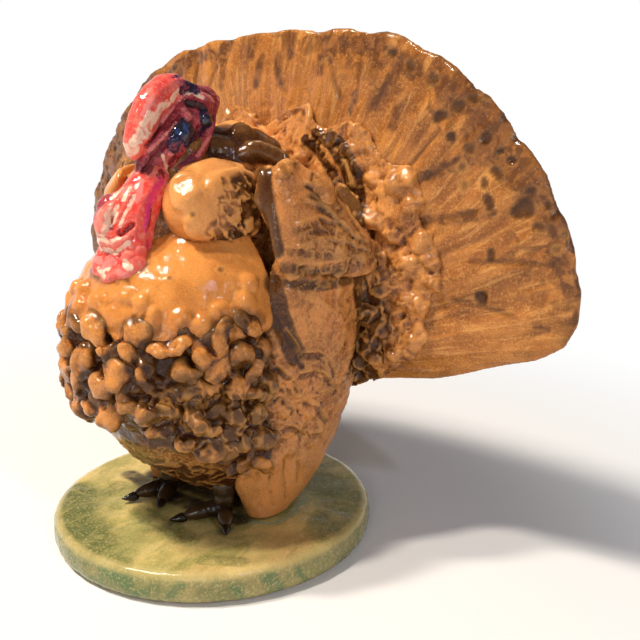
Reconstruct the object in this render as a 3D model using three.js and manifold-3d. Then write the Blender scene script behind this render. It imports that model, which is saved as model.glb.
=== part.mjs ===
// Strutting turkey figure in hand-built glazed earthenware, standing on a round base slab.
// Millimetres, +Z up, the origin is the centre of the base's underside and the bird faces -Y.
// The bird's own pieces are worked out above the top of the base, in a group that stands on it.
import * as THREE from 'three';
import { mergeVertices } from 'three/addons/utils/BufferGeometryUtils.js';
import Module from 'manifold-3d';

const wasm = await Module();
wasm.setup();

// Base slab
const baseDiameter = 120;
const baseThickness = 12;
const baseEdgeRadius = 3.5;
const ventDiameter = 14;
const ventSetback = 12;

// Body
const bodyHeight = 126;
const bodyHalfWidth = 38;
const bodyFront = 52;
const bodyRear = 30.4;
const bodyWall = 6;
const bodyCrownRise = 2;

// Breast covering
const capThickness = 3.5;
const capDrip = 6;
const pelletWidth = 10.5;
const pelletLength = 10.5;
const pelletRise = 5.4;
const stripThickness = 1.6;
const stripHeight = 12;

// Wings and the flaps on the shoulders and the back
const wingHalfWidth = 24;
const wingHalfThickness = 9;
const flapHalfWidth = 20;
const flapHalfThickness = 4.5;
const saddleHalfWidth = 6.5;
const saddleHalfThickness = 3;

// Tail
const fanRadius = 137;
const fanRootHeight = 45;
const fanStandOff = 0.6;
const fanThickness = 12;
const fanRimThickness = 5;
const fanGroove = 1.1;
const covertRadius = 104;
const covertThickness = 7;
const covertRimThickness = 5;
const covertBed = 0.8;
const covertStep = 4.2;
const covertGroove = 1.2;
const rearCovertRadius = 74;
const tailRootHeight = 54;
const tailRootHalfWidth = 26;
const tailRootHalfDepth = 12;
const tailRootHalfHeight = 27;

// Neck, head and what hangs from it
const neckRadius = 11;
const headHalfWidth = 7.5;
const headHalfDepth = 8;
const beakHalfWidth = 4.2;
const beakHalfDepth = 3.6;
const snoodRadius = 4.8;
const wattleHalfWidth = 8.5;
const wattleHalfDepth = 7;
const apronHalfWidth = 11.5;
const apronHalfDepth = 5;
const caruncleRadius = 4.4;
const eyeRadius = 2.6;
const cheekRadius = 4.2;
const headLean = THREE.MathUtils.degToRad(42);

// Legs, toes and claws
const legRadius = 4.4;
const toeRadius = 2.7;
const clawRadius = 1.6;

// The slip joint left open between two luted pieces, and how far a cutter runs past what it cuts
const seam = 0.3;
const overrun = 4;

// Places below are shares of the body's sizes: to the side, ahead of the middle, and up
const inBody = ([side, ahead, up]) =>
  new THREE.Vector3(side * bodyHalfWidth, -ahead * bodyFront, up * bodyHeight);

// A closed geometry as a solid that can be joined and cut
function solid(geometry) {
  const bare = geometry.clone();
  bare.deleteAttribute('normal');
  bare.deleteAttribute('uv');
  const merged = mergeVertices(bare);
  const corners = merged.index.array;
  const triangles = [];
  for (let i = 0; i < corners.length; i += 3) {
    const [a, b, c] = corners.slice(i, i + 3);
    if (a !== b && b !== c && c !== a) triangles.push(a, b, c);
  }
  return new wasm.Manifold(new wasm.Mesh({
    numProp: 3,
    vertProperties: new Float32Array(merged.attributes.position.array),
    triVerts: new Uint32Array(triangles),
  }));
}

// The same form with its skin moved outward, or inward where the distance is negative
function swell(geometry, distance) {
  const bare = geometry.clone();
  bare.deleteAttribute('normal');
  bare.deleteAttribute('uv');
  const merged = mergeVertices(bare);
  merged.computeVertexNormals();
  const { position, normal } = merged.attributes;
  const point = new THREE.Vector3();
  const outward = new THREE.Vector3();
  for (let i = 0; i < position.count; i += 1) {
    point.fromBufferAttribute(position, i);
    outward.fromBufferAttribute(normal, i);
    point.addScaledVector(outward, distance);
    position.setXYZ(i, point.x, point.y, point.z);
  }
  return merged;
}

const indices = (count) => [...Array(count).keys()];
const join = (solids) => solids.reduce((whole, piece) => whole.add(piece));
const fused = (forms) => join(forms.map(solid));
const clearOf = (forms) => join(forms.map((form) => solid(swell(form, seam))));

// The forms fused into one solid, cut back from every neighbour in the list
function carved(forms, neighbours) {
  const whole = neighbours.reduce((piece, other) => piece.subtract(clearOf(other)), fused(forms));
  return trimmed(whole);
}

// A cut can leave a crumb on the far side of a neighbour: the piece is the largest body
function trimmed(whole) {
  const bodies = whole.decompose();
  return bodies.reduce((best, body) => (body.volume() > best.volume() ? body : best));
}

// Rings of the same count of points, closed by a pole point at each end
function skin(rings, firstPole, lastPole) {
  const sides = rings[0].length;
  const points = [firstPole, ...rings.flat(), lastPole];
  const at = (ring, side) => 1 + ring * sides + (side % sides);
  const last = points.length - 1;
  const faces = [];
  for (let side = 0; side < sides; side += 1) {
    faces.push([0, at(0, side + 1), at(0, side)]);
    faces.push([last, at(rings.length - 1, side), at(rings.length - 1, side + 1)]);
    for (let ring = 0; ring < rings.length - 1; ring += 1) {
      faces.push([at(ring, side), at(ring, side + 1), at(ring + 1, side + 1)]);
      faces.push([at(ring, side), at(ring + 1, side + 1), at(ring + 1, side)]);
    }
  }
  return facingOut(points, faces);
}

// Points and faces as a geometry, turned over where its volume comes out negative
function facingOut(points, faces) {
  const volume = faces.reduce(
    (sum, [a, b, c]) => sum + points[a].dot(points[b].clone().cross(points[c])), 0);
  const turned = volume < 0 ? faces.map(([a, b, c]) => [a, c, b]) : faces;
  const geometry = new THREE.BufferGeometry().setFromPoints(points);
  geometry.setIndex(turned.flat());
  return geometry;
}

// A table read at any place from 0 to 1, on a smooth curve through its rows
function readTable(shares, place) {
  const along = THREE.MathUtils.clamp(place, 0, 1) * (shares.length - 1);
  const row = Math.min(Math.floor(along), shares.length - 2);
  const part = along - row;
  const pick = (index) => shares[THREE.MathUtils.clamp(index, 0, shares.length - 1)];
  return indices(shares[0].length).map((column) => {
    const [p, q, r, s] = [row - 1, row, row + 1, row + 2].map((index) => pick(index)[column]);
    return 0.5 * (2 * q + (r - p) * part + (2 * p - 5 * q + 4 * r - s) * part ** 2
      + (3 * q - p - 3 * r + s) * part ** 3);
  });
}

// A limb: rows hold a place in the body, then shares of the half width and the half depth.
// The first and last rows are its poles. Across is the direction in which the width is laid.
function limb(shares, halfWidth, halfDepth, across, { stations = 8, sides = 10 } = {}) {
  const reads = indices(stations + 1).map((station) => readTable(shares, station / stations));
  const places = reads.map(inBody);
  const rings = places.slice(1, -1).map((place, index) => {
    const [, , , widthShare, depthShare] = reads[index + 1];
    const along = places[index + 2].clone().sub(places[index]).normalize();
    const wide = across.clone().addScaledVector(along, -across.dot(along)).normalize();
    const deep = along.clone().cross(wide);
    return indices(sides).map((side) => {
      const turn = (2 * Math.PI * side) / sides;
      return place.clone()
        .addScaledVector(wide, Math.cos(turn) * halfWidth * Math.max(widthShare, 0))
        .addScaledVector(deep, Math.sin(turn) * halfDepth * Math.max(depthShare, 0));
    });
  });
  return skin(rings, places[0], places[places.length - 1]);
}

// An egg-shaped lump: its middle and its half sizes are shares of the body's sizes
function lump({ at, half }) {
  const geometry = new THREE.SphereGeometry(1, 12, 8);
  geometry.scale(half[0] * bodyHalfWidth, half[1] * bodyFront, half[2] * bodyHeight);
  const middle = inBody(at);
  return geometry.translate(middle.x, middle.y, middle.z);
}

// The same table of shares for the other side of the bird
const mirrored = (shares) => shares.map(([side, ...rest]) => [-side, ...rest]);
const mirrorAcross = (direction) => direction.clone().setX(-direction.x);

// Repeatable hand-made unevenness from -1 to 1
function unevenness(seed) {
  const wave = Math.sin(seed * 12.9898) * 43758.5453;
  return 2 * (wave - Math.floor(wave)) - 1;
}

// Base slab: a turned disc with a rounded edge, pierced by the kiln vent
const ventForm = new THREE.CylinderGeometry(ventDiameter / 2, ventDiameter / 2,
  2 * (baseThickness + bodyWall + overrun), 24)
  .rotateX(Math.PI / 2).translate(0, ventSetback, 0);

function baseDisc() {
  const rim = baseDiameter / 2;
  const profile = [new THREE.Vector2(0, 0)];
  const corners = [[-1, baseEdgeRadius], [0, baseThickness - baseEdgeRadius]];
  for (const [quarter, height] of corners) {
    for (let step = 0; step <= 2; step += 1) {
      const turn = (Math.PI / 2) * (quarter + step / 2);
      profile.push(new THREE.Vector2(
        rim - baseEdgeRadius + baseEdgeRadius * Math.cos(turn),
        height + baseEdgeRadius * Math.sin(turn)));
    }
  }
  profile.push(new THREE.Vector2(0, baseThickness));
  const slab = new THREE.LatheGeometry(profile, 40).rotateX(Math.PI / 2);
  return solid(slab).subtract(solid(ventForm));
}

// Body sections from the foot to the top: shares of the height, the half width, and the
// reach ahead and behind
const bodySectionShares = [
  [0.00, 0.55, 0.02, 0.98],
  [0.08, 0.70, 0.30, 1.00],
  [0.19, 0.84, 0.65, 1.00],
  [0.33, 0.94, 0.86, 1.00],
  [0.48, 0.98, 0.93, 1.00],
  [0.62, 0.95, 0.88, 1.00],
  [0.72, 0.84, 0.72, 1.00],
  [0.82, 0.62, 0.34, 1.00],
  [0.95, 0.34, 0.02, 0.94],
  [1.00, 0.12, -0.15, 0.62],
];
const frontFullness = 2.1;
const rearFullness = 2.8;

// One point of the body's skin. Turn 0 is straight ahead, a quarter turn is the bird's left.
function bodyPoint(place, turn) {
  const [up, wide, ahead, behind] = readTable(bodySectionShares, place);
  const front = ahead * bodyFront;
  const rear = behind * bodyRear;
  const middle = (rear - front) / 2;
  const fullness = Math.cos(turn) > 0 ? frontFullness : rearFullness;
  const round = (value) => Math.sign(value) * Math.abs(value) ** (2 / fullness);
  return new THREE.Vector3(
    wide * bodyHalfWidth * round(Math.sin(turn)),
    middle - ((front + rear) / 2) * round(Math.cos(turn)),
    up * bodyHeight);
}

function bodyForm(ringCount = 15, sides = 26) {
  const rings = indices(ringCount).map((ring) => indices(sides).map((side) =>
    bodyPoint(ring / (ringCount - 1), (2 * Math.PI * side) / sides)));
  const [lowest, highest] = [rings[0], rings[ringCount - 1]].map((ring) =>
    ring.reduce((sum, point) => sum.add(point), new THREE.Vector3()).divideScalar(sides));
  highest.z += bodyCrownRise;
  return skin(rings, lowest, highest);
}

// The space under the top of the base, which trims whatever stands on it
const groundForm = new THREE.BoxGeometry(2 * baseDiameter, 2 * baseDiameter, 2 * overrun)
  .translate(0, 0, -overrun);
const onGround = (piece) => piece.subtract(solid(groundForm));

// All the space on one side of the bird's middle
const sideForm = (way) => new THREE.BoxGeometry(2 * fanRadius, 2 * fanRadius, 4 * fanRadius)
  .translate(way * (fanRadius + seam / 2), 0, 0);

// A fan slab spreads from a root at the middle of the bird. The outline rows hold an angle from
// straight up and a share of the radius, and the slab thins from its middle to its rim.
const fanRowShares = [0.5, 0.88, 1];
const fanEdgeShare = 0.45;

function fanForm({ radius, outlineShares, feathers, plane, thickness, rimThickness, groove,
  spread, lobeShare }) {
  const steps = feathers * 3;
  const angles = [];
  for (let step = 0; step <= steps; step += 1) angles.push(spread * ((2 * step) / steps - 1));
  const below = outlineShares.map(([angle]) => angle).filter((angle) => angle > spread);
  angles.push(...below, ...below.map((angle) => -angle).reverse().filter((angle) => angle > -180));
  const outline = (angle) => {
    const size = Math.abs(angle);
    const next = outlineShares.findIndex(([limit]) => limit >= size);
    if (next <= 0) return outlineShares[0][1];
    const [[fromAngle, fromShare], [toAngle, toShare]] = outlineShares.slice(next - 1, next + 1);
    return THREE.MathUtils.mapLinear(size, fromAngle, toAngle, fromShare, toShare);
  };
  const crown = (angle) => (Math.abs(angle) > spread ? 0
    : Math.abs(Math.sin((Math.PI * feathers * (angle + spread)) / (2 * spread))));
  const face = (front) => fanRowShares.map((share) => angles.map((angle) => {
    const notch = lobeShare * (crown(angle) - 1) * share ** 4;
    const reach = radius * outline(angle) * share * (1 + notch);
    const turn = THREE.MathUtils.degToRad(angle);
    const swellShare = Math.sqrt(Math.max(1 - share ** 2, 0));
    const half = rimThickness / 2 + ((thickness - rimThickness) / 2) * swellShare;
    const edge = share === 1 ? fanEdgeShare : 1;
    const ridge = groove * (crown(angle) - 1) * Math.min(share / fanRowShares[1], 1) * edge;
    return new THREE.Vector3(reach * Math.sin(turn),
      plane + (front ? -1 : 1) * (half * edge + ridge),
      fanRootHeight + reach * Math.cos(turn));
  }));
  const poles = [-1, 1].map((way) =>
    new THREE.Vector3(0, plane + (way * thickness) / 2, fanRootHeight));
  return skin([...face(true), ...face(false).reverse()], poles[0], poles[1]);
}

// The fan stands just behind the body. Its outline is round above, and its lower edge is
// nearly level on each side.
const fanOutlineShares = [
  [0, 0.925], [8, 0.925], [16, 0.945], [24, 0.975], [33, 0.985], [45, 0.99], [56, 0.985],
  [66, 0.975], [74, 0.95], [78, 0.905], [80, 0.83], [81.2, 0.73], [83, 0.645], [85, 0.56],
  [87, 0.42], [92, 0.30], [110, 0.22], [140, 0.18], [180, 0.16],
];
const fanPlane = bodyRear + fanStandOff + fanThickness / 2;
const tailFanForm = fanForm({
  radius: fanRadius,
  outlineShares: fanOutlineShares,
  feathers: 16,
  plane: fanPlane,
  thickness: fanThickness,
  rimThickness: fanRimThickness,
  groove: fanGroove,
  spread: 78,
  lobeShare: 0.005,
});

// Two overlapping tiers of coverts in front of the fan, and one tier behind it
const covertOutlineShares = [
  [0, 0.94], [20, 1], [36, 1], [50, 0.94], [65, 0.83], [80, 0.68], [86, 0.55], [94, 0.42],
  [110, 0.32], [180, 0.30],
];
const covertSpread = 84;

function covertForm(radius, feathers, plane) {
  return fanForm({
    radius,
    outlineShares: covertOutlineShares,
    feathers,
    plane,
    thickness: covertThickness,
    rimThickness: covertRimThickness,
    groove: covertGroove,
    spread: covertSpread,
    lobeShare: 0.07,
  });
}
const innerCovertShare = 0.8;
const covertStandOff = fanThickness / 2 - covertBed;
const outerCovertPlane = fanPlane - covertStandOff;
const innerCovertPlane = outerCovertPlane - covertStep;
const rearCovertPlane = fanPlane + covertStandOff;
const outerCovertForm = covertForm(covertRadius, 10, outerCovertPlane);
const innerCovertForm = covertForm(covertRadius * innerCovertShare, 8, innerCovertPlane);
const rearCovertForm = covertForm(rearCovertRadius, 7, rearCovertPlane);

// The plug of clay that backs the fan behind the body
const tailRootForm = new THREE.SphereGeometry(1, 14, 10)
  .scale(tailRootHalfWidth, tailRootHalfDepth, tailRootHalfHeight)
  .translate(0, rearCovertPlane + covertThickness / 2, tailRootHeight);

// Mantle: the hump of the back, a knob on each side of the neck and the shoulders under them
const mantleEggShares = [
  { at: [0, -0.27, 0.93], half: [0.50, 0.44, 0.17] },
  { at: [0.40, 0.19, 0.885], half: [0.38, 0.35, 0.12] },
  { at: [-0.34, 0.19, 0.885], half: [0.29, 0.29, 0.11] },
  { at: [0, -0.18, 0.84], half: [0.86, 0.42, 0.14] },
];
const mantleForms = mantleEggShares.map(lump);

// Drooped wing: a thick leaf from the shoulder to its tip on the base
const wingShares = [
  [0.98, -0.16, 0.82, 0.00, 0.0],
  [1.06, -0.18, 0.76, 0.62, 0.7],
  [1.12, -0.20, 0.66, 0.82, 1.0],
  [1.06, -0.20, 0.53, 0.90, 1.0],
  [0.94, -0.17, 0.40, 0.97, 1.0],
  [0.83, -0.13, 0.28, 1.00, 1.0],
  [0.76, -0.09, 0.17, 0.90, 0.9],
  [0.72, -0.04, 0.08, 0.62, 0.75],
  [0.72, 0.03, 0.00, 0.30, 0.6],
  [0.72, 0.05, -0.05, 0.00, 0.0],
];
const wingAcross = new THREE.Vector3(0.28, 0.96, 0);

// Shoulder flap: a leaf that points back and out over the wing
const flapShares = [
  [0.98, 0.12, 0.825, 0.00, 0.0],
  [1.00, 0.09, 0.835, 0.86, 0.8],
  [1.06, 0.00, 0.845, 1.00, 1.0],
  [1.18, -0.15, 0.815, 0.78, 1.0],
  [1.32, -0.32, 0.77, 0.54, 0.9],
  [1.43, -0.46, 0.735, 0.32, 0.7],
  [1.50, -0.54, 0.715, 0.00, 0.0],
];
const flapAcross = new THREE.Vector3(-0.12, 0.22, 0.96);

// Saddle tufts: stacked flaps beside the hump, each a root and a tip
const saddleFlapShares = [
  [[0.20, -0.30, 1.06], [0.62, -0.46, 1.06]],
  [[0.30, -0.28, 1.00], [0.86, -0.46, 0.98]],
  [[0.42, -0.26, 0.95], [1.02, -0.46, 0.90]],
  [[0.52, -0.30, 0.90], [1.18, -0.48, 0.83]],
  [[0.30, -0.14, 1.02], [0.78, -0.26, 0.97]],
  [[0.46, -0.12, 0.96], [0.94, -0.24, 0.90]],
];
const saddleAcross = new THREE.Vector3(0.35, -0.25, 0.9);

// From root to tip of one flap: how far along, then shares of its width and its thickness
const saddleSectionShares = [[0, 0, 0], [0.15, 0.8, 0.8], [0.6, 1, 1], [0.9, 0.7, 0.9], [1, 0, 0]];

function saddleForms(sharesOf, across) {
  return saddleFlapShares.map(([root, tip]) => {
    const flapShares = saddleSectionShares.map(([along, ...size]) => [
      ...root.map((value, index) => THREE.MathUtils.lerp(value, tip[index], along)), ...size]);
    return limb(sharesOf(flapShares), saddleHalfWidth, saddleHalfThickness, across,
      { stations: 6, sides: 6 });
  });
}

// Neck, head, beak and the fleshy parts, all on the middle of the bird
const sideways = new THREE.Vector3(1, 0, 0);
const neckShares = [
  [0, 0.52, 0.66, 0.0, 0.0],
  [0, 0.48, 0.70, 0.9, 0.9],
  [0, 0.40, 0.79, 1.0, 1.0],
  [0, 0.31, 0.88, 0.92, 0.92],
  [0, 0.21, 0.97, 0.82, 0.82],
  [0, 0.14, 1.05, 0.65, 0.65],
  [0, 0.12, 1.09, 0.0, 0.0],
];
const headShares = [
  [0, -0.125, 1.143, 0.00, 0.00],
  [0, -0.085, 1.151, 0.50, 0.50],
  [0, 0.02, 1.143, 0.90, 0.90],
  [0, 0.155, 1.107, 1.00, 1.00],
  [0, 0.27, 1.056, 0.95, 0.95],
  [0, 0.365, 1.008, 0.75, 0.72],
  [0, 0.433, 0.972, 0.45, 0.42],
  [0, 0.46, 0.952, 0.00, 0.00],
];
const upperBeakShares = [
  [0, 0.33, 1.08, 0, 0],
  [0, 0.38, 1.06, 0.9, 0.9],
  [0, 0.47, 1.01, 0.8, 0.8],
  [0, 0.53, 0.975, 0.4, 0.5],
  [0, 0.555, 0.96, 0, 0],
];
const lowerBeakShares = [
  [0, 0.30, 1.02, 0, 0],
  [0, 0.34, 1.005, 0.9, 0.8],
  [0, 0.42, 0.965, 0.75, 0.7],
  [0, 0.475, 0.935, 0.35, 0.4],
  [0, 0.49, 0.925, 0, 0],
];
const snoodShares = [
  [0, 0.14, 1.165, 0.0, 0.0],
  [0, 0.20, 1.19, 0.75, 0.7],
  [0, 0.33, 1.175, 1.05, 1.0],
  [0, 0.45, 1.13, 1.00, 1.0],
  [0, 0.52, 1.08, 0.9, 0.9],
  [0, 0.567, 1.028, 0.75, 0.75],
  [0, 0.577, 1.0, 0.0, 0.0],
];
const wattleShares = [
  [0, 0.365, 0.995, 0.0, 0.0],
  [0, 0.405, 0.968, 0.65, 0.7],
  [0, 0.48, 0.93, 0.85, 0.9],
  [0, 0.60, 0.873, 1.00, 1.0],
  [0, 0.655, 0.817, 1.05, 1.0],
  [0, 0.69, 0.77, 1.00, 1.0],
  [0, 0.71, 0.74, 0.0, 0.0],
];
const apronShares = [
  [0, 0.635, 0.82, 0.0, 0.0],
  [0, 0.67, 0.795, 0.8, 0.8],
  [0, 0.73, 0.745, 1.0, 1.0],
  [0, 0.76, 0.705, 0.9, 1.0],
  [0, 0.77, 0.68, 0.0, 0.0],
];
const caruncleShares = [
  [-0.10, 0.73, 0.85], [-0.02, 0.76, 0.82], [-0.16, 0.68, 0.88],
];
const caruncleUnevenShare = 0.18;

function caruncleForms() {
  return caruncleShares.map((share, index) => {
    const size = caruncleRadius * (1 + caruncleUnevenShare * unevenness(index + 1));
    const middle = inBody(share);
    return new THREE.SphereGeometry(size, 9, 7).translate(middle.x, middle.y, middle.z);
  });
}

// Eyes and the swollen cheeks in front of them, set into the sides of the head. The first
// table places them on the middle plane, the second says how far out in the head they sit.
const facePlaceShares = { eye: [0, 0.10, 1.10], cheek: [0, 0.29, 1.06] };
const faceSideShares = { eye: 0.887, cheek: 0.735 };
const cheekStretch = 1.5;

function faceForm(feature, way, radius, stretch) {
  const { y, z } = inBody(facePlaceShares[feature]);
  return new THREE.SphereGeometry(radius, 10, 7).scale(1, 1, stretch)
    .rotateX(-headLean).translate(way * headHalfWidth * faceSideShares[feature], y, z);
}
const eyeForm = (way) => faceForm('eye', way, eyeRadius, 1);
const cheekForm = (way) => faceForm('cheek', way, cheekRadius, cheekStretch);

// Legs, feet and claws. Each side has the places of its knee, its ankle and its two toe tips.
const footShares = {
  left: {
    knee: [0.44, 0.20, 0.225],
    ankle: [0.46, 0.22, 0.028],
    toes: [[0.27, 0.47, 0.019], [0.72, 0.39, 0.019]],
  },
  right: {
    knee: [-0.30, 0.20, 0.225],
    ankle: [-0.32, 0.22, 0.028],
    toes: [[-0.14, 0.42, 0.019], [-0.44, 0.48, 0.019]],
  },
};
const legSizeShares = [0, 1, 0.9, 1.1, 1.3, 0];
const toeSizeShares = [0, 1.15, 1, 1.1, 0.85, 0];
const clawSizeShares = [0, 1.1, 1.1, 0.8, 0.45, 0];
const legReachShares = [-0.1, 1];
const toeReachShares = [-0.12, 1.05];
const clawReachShares = [0.86, 1.4];
const clawHeightShare = 0.013;
const upward = new THREE.Vector3(0, 0, 1);

// Rows of a straight limb between two places, begun and ended at shares of the way
function straight(from, to, reachShares, sizeShares) {
  return sizeShares.map((size, index) => {
    const along = THREE.MathUtils.lerp(...reachShares, index / (sizeShares.length - 1));
    return [...from.map((value, axis) => THREE.MathUtils.lerp(value, to[axis], along)), size, size];
  });
}

function legForm({ ankle, knee }) {
  return limb(straight(ankle, knee, legReachShares, legSizeShares), legRadius, legRadius,
    sideways, { stations: 6 });
}

function footForms({ ankle, toes }) {
  return toes.map((tip) => limb(straight(ankle, tip, toeReachShares, toeSizeShares),
    toeRadius, toeRadius, upward, { stations: 7, sides: 8 }));
}

function clawForm({ ankle }, tip) {
  const [from, to] = [ankle, tip].map(([side, ahead]) => [side, ahead, clawHeightShare]);
  return limb(straight(from, to, clawReachShares, clawSizeShares), clawRadius, clawRadius,
    upward, { stations: 6, sides: 8 });
}

// Breast cap: a second skin over the upper breast, cut to a dripping lower edge
const capBottomShare = 0.60;
const capTopShare = 0.86;
const capSideShare = 0.12;
const capDrips = 7;
const capDripUnevenShare = 0.25;

function capCurtain() {
  const half = bodyHalfWidth + overrun;
  const outline = new THREE.Shape();
  outline.moveTo(-half, capTopShare * bodyHeight);
  const steps = capDrips * 4;
  for (let step = 0; step <= steps; step += 1) {
    const share = step / steps;
    const wave = 0.5 - 0.5 * Math.cos(2 * Math.PI * capDrips * share);
    const uneven = capDripUnevenShare * (unevenness(Math.floor(share * capDrips) + 5) - 1);
    const drip = capDrip * wave * (1 + uneven);
    outline.lineTo(half * (2 * share - 1), capBottomShare * bodyHeight - drip);
  }
  outline.lineTo(half, capTopShare * bodyHeight);
  const depth = bodyFront * (1 - capSideShare) + capThickness + overrun;
  return new THREE.ExtrudeGeometry(outline, { depth, bevelEnabled: false })
    .rotateX(Math.PI / 2).translate(0, -bodyFront * capSideShare, 0);
}

// Breast tufts: rows of clay pellets below the cap. Each row is pressed onto a strip of clay
// that lies on the body, and the strip ends where the row does.
const tuftRowHeightShares = [0.515, 0.435, 0.355, 0.275];
const tuftRowCounts = [14, 14, 14, 13];
const tuftHalfSpread = THREE.MathUtils.degToRad(94);
const tuftDriftShare = 0.008;
const pelletSquareness = 0.75;
const pelletUnevenShare = 0.14;
const pelletTwist = 0.45;
const nearbyShare = 0.01;

function pelletForm(place, turn, seed) {
  const foot = bodyPoint(place, turn);
  const along = bodyPoint(place, turn + nearbyShare).sub(foot).normalize();
  const rising = bodyPoint(place + nearbyShare, turn).sub(foot).normalize();
  const outward = along.clone().cross(rising).normalize();
  if (outward.dot(new THREE.Vector3(foot.x, foot.y, 0)) < 0) outward.negate();
  const twist = pelletTwist * unevenness(seed);
  const wide = along.clone().multiplyScalar(Math.cos(twist)).addScaledVector(rising, Math.sin(twist));
  const long = outward.clone().cross(wide).normalize();
  const sizes = [pelletWidth / 2, pelletLength / 2, pelletRise].map((size, index) =>
    size * (1 + pelletUnevenShare * unevenness(seed * 3 + index)));
  const geometry = new THREE.SphereGeometry(1, 6, 3);
  const { position } = geometry.attributes;
  const round = (value) => Math.sign(value) * Math.abs(value) ** pelletSquareness;
  for (let i = 0; i < position.count; i += 1) {
    const height = Math.max(round(position.getZ(i)), 0);
    const spot = foot.clone()
      .addScaledVector(wide, round(position.getX(i)) * sizes[0])
      .addScaledVector(long, round(position.getY(i)) * sizes[1])
      .addScaledVector(outward, seam + height * sizes[2]);
    position.setXYZ(i, spot.x, spot.y, spot.z);
  }
  return geometry;
}

function tuftRowForms(row) {
  const count = tuftRowCounts[row];
  const stagger = row % 2 ? 0.5 : 0;
  return indices(count).map((index) => {
    const turn = tuftHalfSpread * ((2 * (index + stagger)) / (count - 0.5) - 1);
    const seed = row * 40 + index + 1;
    const drift = tuftDriftShare * unevenness(seed * 7);
    return pelletForm(tuftRowHeightShares[row] + drift, turn, seed);
  });
}

function stripBox(row, clearance) {
  const middle = bodyPoint(tuftRowHeightShares[row], 0).z;
  const behind = bodyPoint(tuftRowHeightShares[row], tuftHalfSpread).y + clearance;
  const ahead = -bodyFront - overrun;
  return new THREE.BoxGeometry(2 * (bodyHalfWidth + overrun), behind - ahead,
    stripHeight + 2 * clearance).translate(0, (ahead + behind) / 2, middle);
}

function stripSolid(row, clearance) {
  const skinForm = swell(bodyOuter, seam + stripThickness + clearance);
  return solid(skinForm).intersect(solid(stripBox(row, clearance)));
}

// Finishes: colour, roughness and metalness of the glazes
const finishes = {
  baseGlaze: [0xc6bd85, 0.3],
  honey: [0xb87a45, 0.22],
  fan: [0xc07d41, 0.25],
  dark: [0x85573a, 0.22],
  breast: [0xcf8a4c, 0.18],
  wing: [0x97663f, 0.3],
  red: [0xcf4a42, 0.2],
  flesh: [0xb5616a, 0.25],
  horn: [0x5a3a3c, 0.3],
  eye: [0x15182c, 0.12],
  toe: [0xb07a4a, 0.3],
  claw: [0x17120f, 0.25],
};

function piece(name, whole, finish) {
  const { vertProperties, triVerts, numProp } = whole.getMesh();
  const points = new Float32Array((vertProperties.length / numProp) * 3);
  for (let i = 0; i < points.length / 3; i += 1) {
    points.set(vertProperties.slice(i * numProp, i * numProp + 3), i * 3);
  }
  const geometry = new THREE.BufferGeometry();
  geometry.setAttribute('position', new THREE.BufferAttribute(points, 3));
  geometry.setIndex([...triVerts]);
  geometry.computeVertexNormals();
  const [color, roughness] = finishes[finish];
  const mesh = new THREE.Mesh(geometry,
    new THREE.MeshStandardMaterial({ color, roughness, metalness: 0 }));
  mesh.name = name;
  return mesh;
}

// Assembly: one function for each group of sub-parts, each cut back from what it is luted onto
const bodyOuter = bodyForm();
const body = [bodyOuter];
const fan = [tailFanForm];
const coverts = [outerCovertForm, innerCovertForm];
const curtainClear = solid(swell(capCurtain(), seam));
const capClear = solid(swell(bodyOuter, 2 * seam + capThickness)).intersect(curtainClear);
const sides = {
  left: { way: 1, sharesOf: (shares) => shares, turned: (direction) => direction },
  right: { way: -1, sharesOf: mirrored, turned: mirrorAcross },
};

function bodyPieces() {
  const hollow = solid(swell(bodyForm(10, 16), -bodyWall));
  const shell = solid(bodyOuter).subtract(hollow).subtract(solid(ventForm));
  return [
    piece('body_shell', trimmed(shell), 'dark'),
    piece('mantle', carved(mantleForms, [body, coverts, fan]), 'honey'),
  ];
}

function tailPieces() {
  const inner = fused([innerCovertForm]).subtract(clearOf([outerCovertForm])).subtract(clearOf(body));
  const halves = Object.entries(sides).map(([side, { way }]) =>
    piece(`${side}_tail_coverts_inner`, trimmed(inner.intersect(solid(sideForm(way)))), 'dark'));
  return [
    ...halves,
    piece('tail_fan', fused(fan), 'fan'),
    piece('tail_coverts_outer', carved([outerCovertForm], [fan, body]), 'honey'),
    piece('tail_coverts_rear', carved([rearCovertForm], [fan, body]), 'honey'),
    piece('tail_root', carved([tailRootForm], [fan, body, [rearCovertForm]]), 'dark'),
  ];
}

function flankForms({ sharesOf, turned }) {
  const saddle = saddleForms(sharesOf, turned(saddleAcross));
  const flap = [limb(sharesOf(flapShares), flapHalfWidth, flapHalfThickness, turned(flapAcross),
    { stations: 9, sides: 12 })];
  const wing = [limb(sharesOf(wingShares), wingHalfWidth, wingHalfThickness, turned(wingAcross),
    { stations: 10, sides: 14 })];
  return { saddle, flap, wing };
}
const flanks = Object.entries(sides).map(([side, turns]) => ({ side, ...flankForms(turns) }));
const wings = flanks.flatMap(({ flap, wing }) => [...flap, ...wing]);

function flankPieces({ side, saddle, flap, wing }) {
  const back = [body, coverts, fan, mantleForms];
  return [
    piece(`${side}_saddle_tufts`, carved(saddle, back), 'dark'),
    piece(`${side}_shoulder_flap`, carved(flap, [...back, saddle]), 'wing'),
    piece(`${side}_wing`, onGround(carved(wing, [...back, saddle, flap])), 'wing'),
  ];
}

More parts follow.
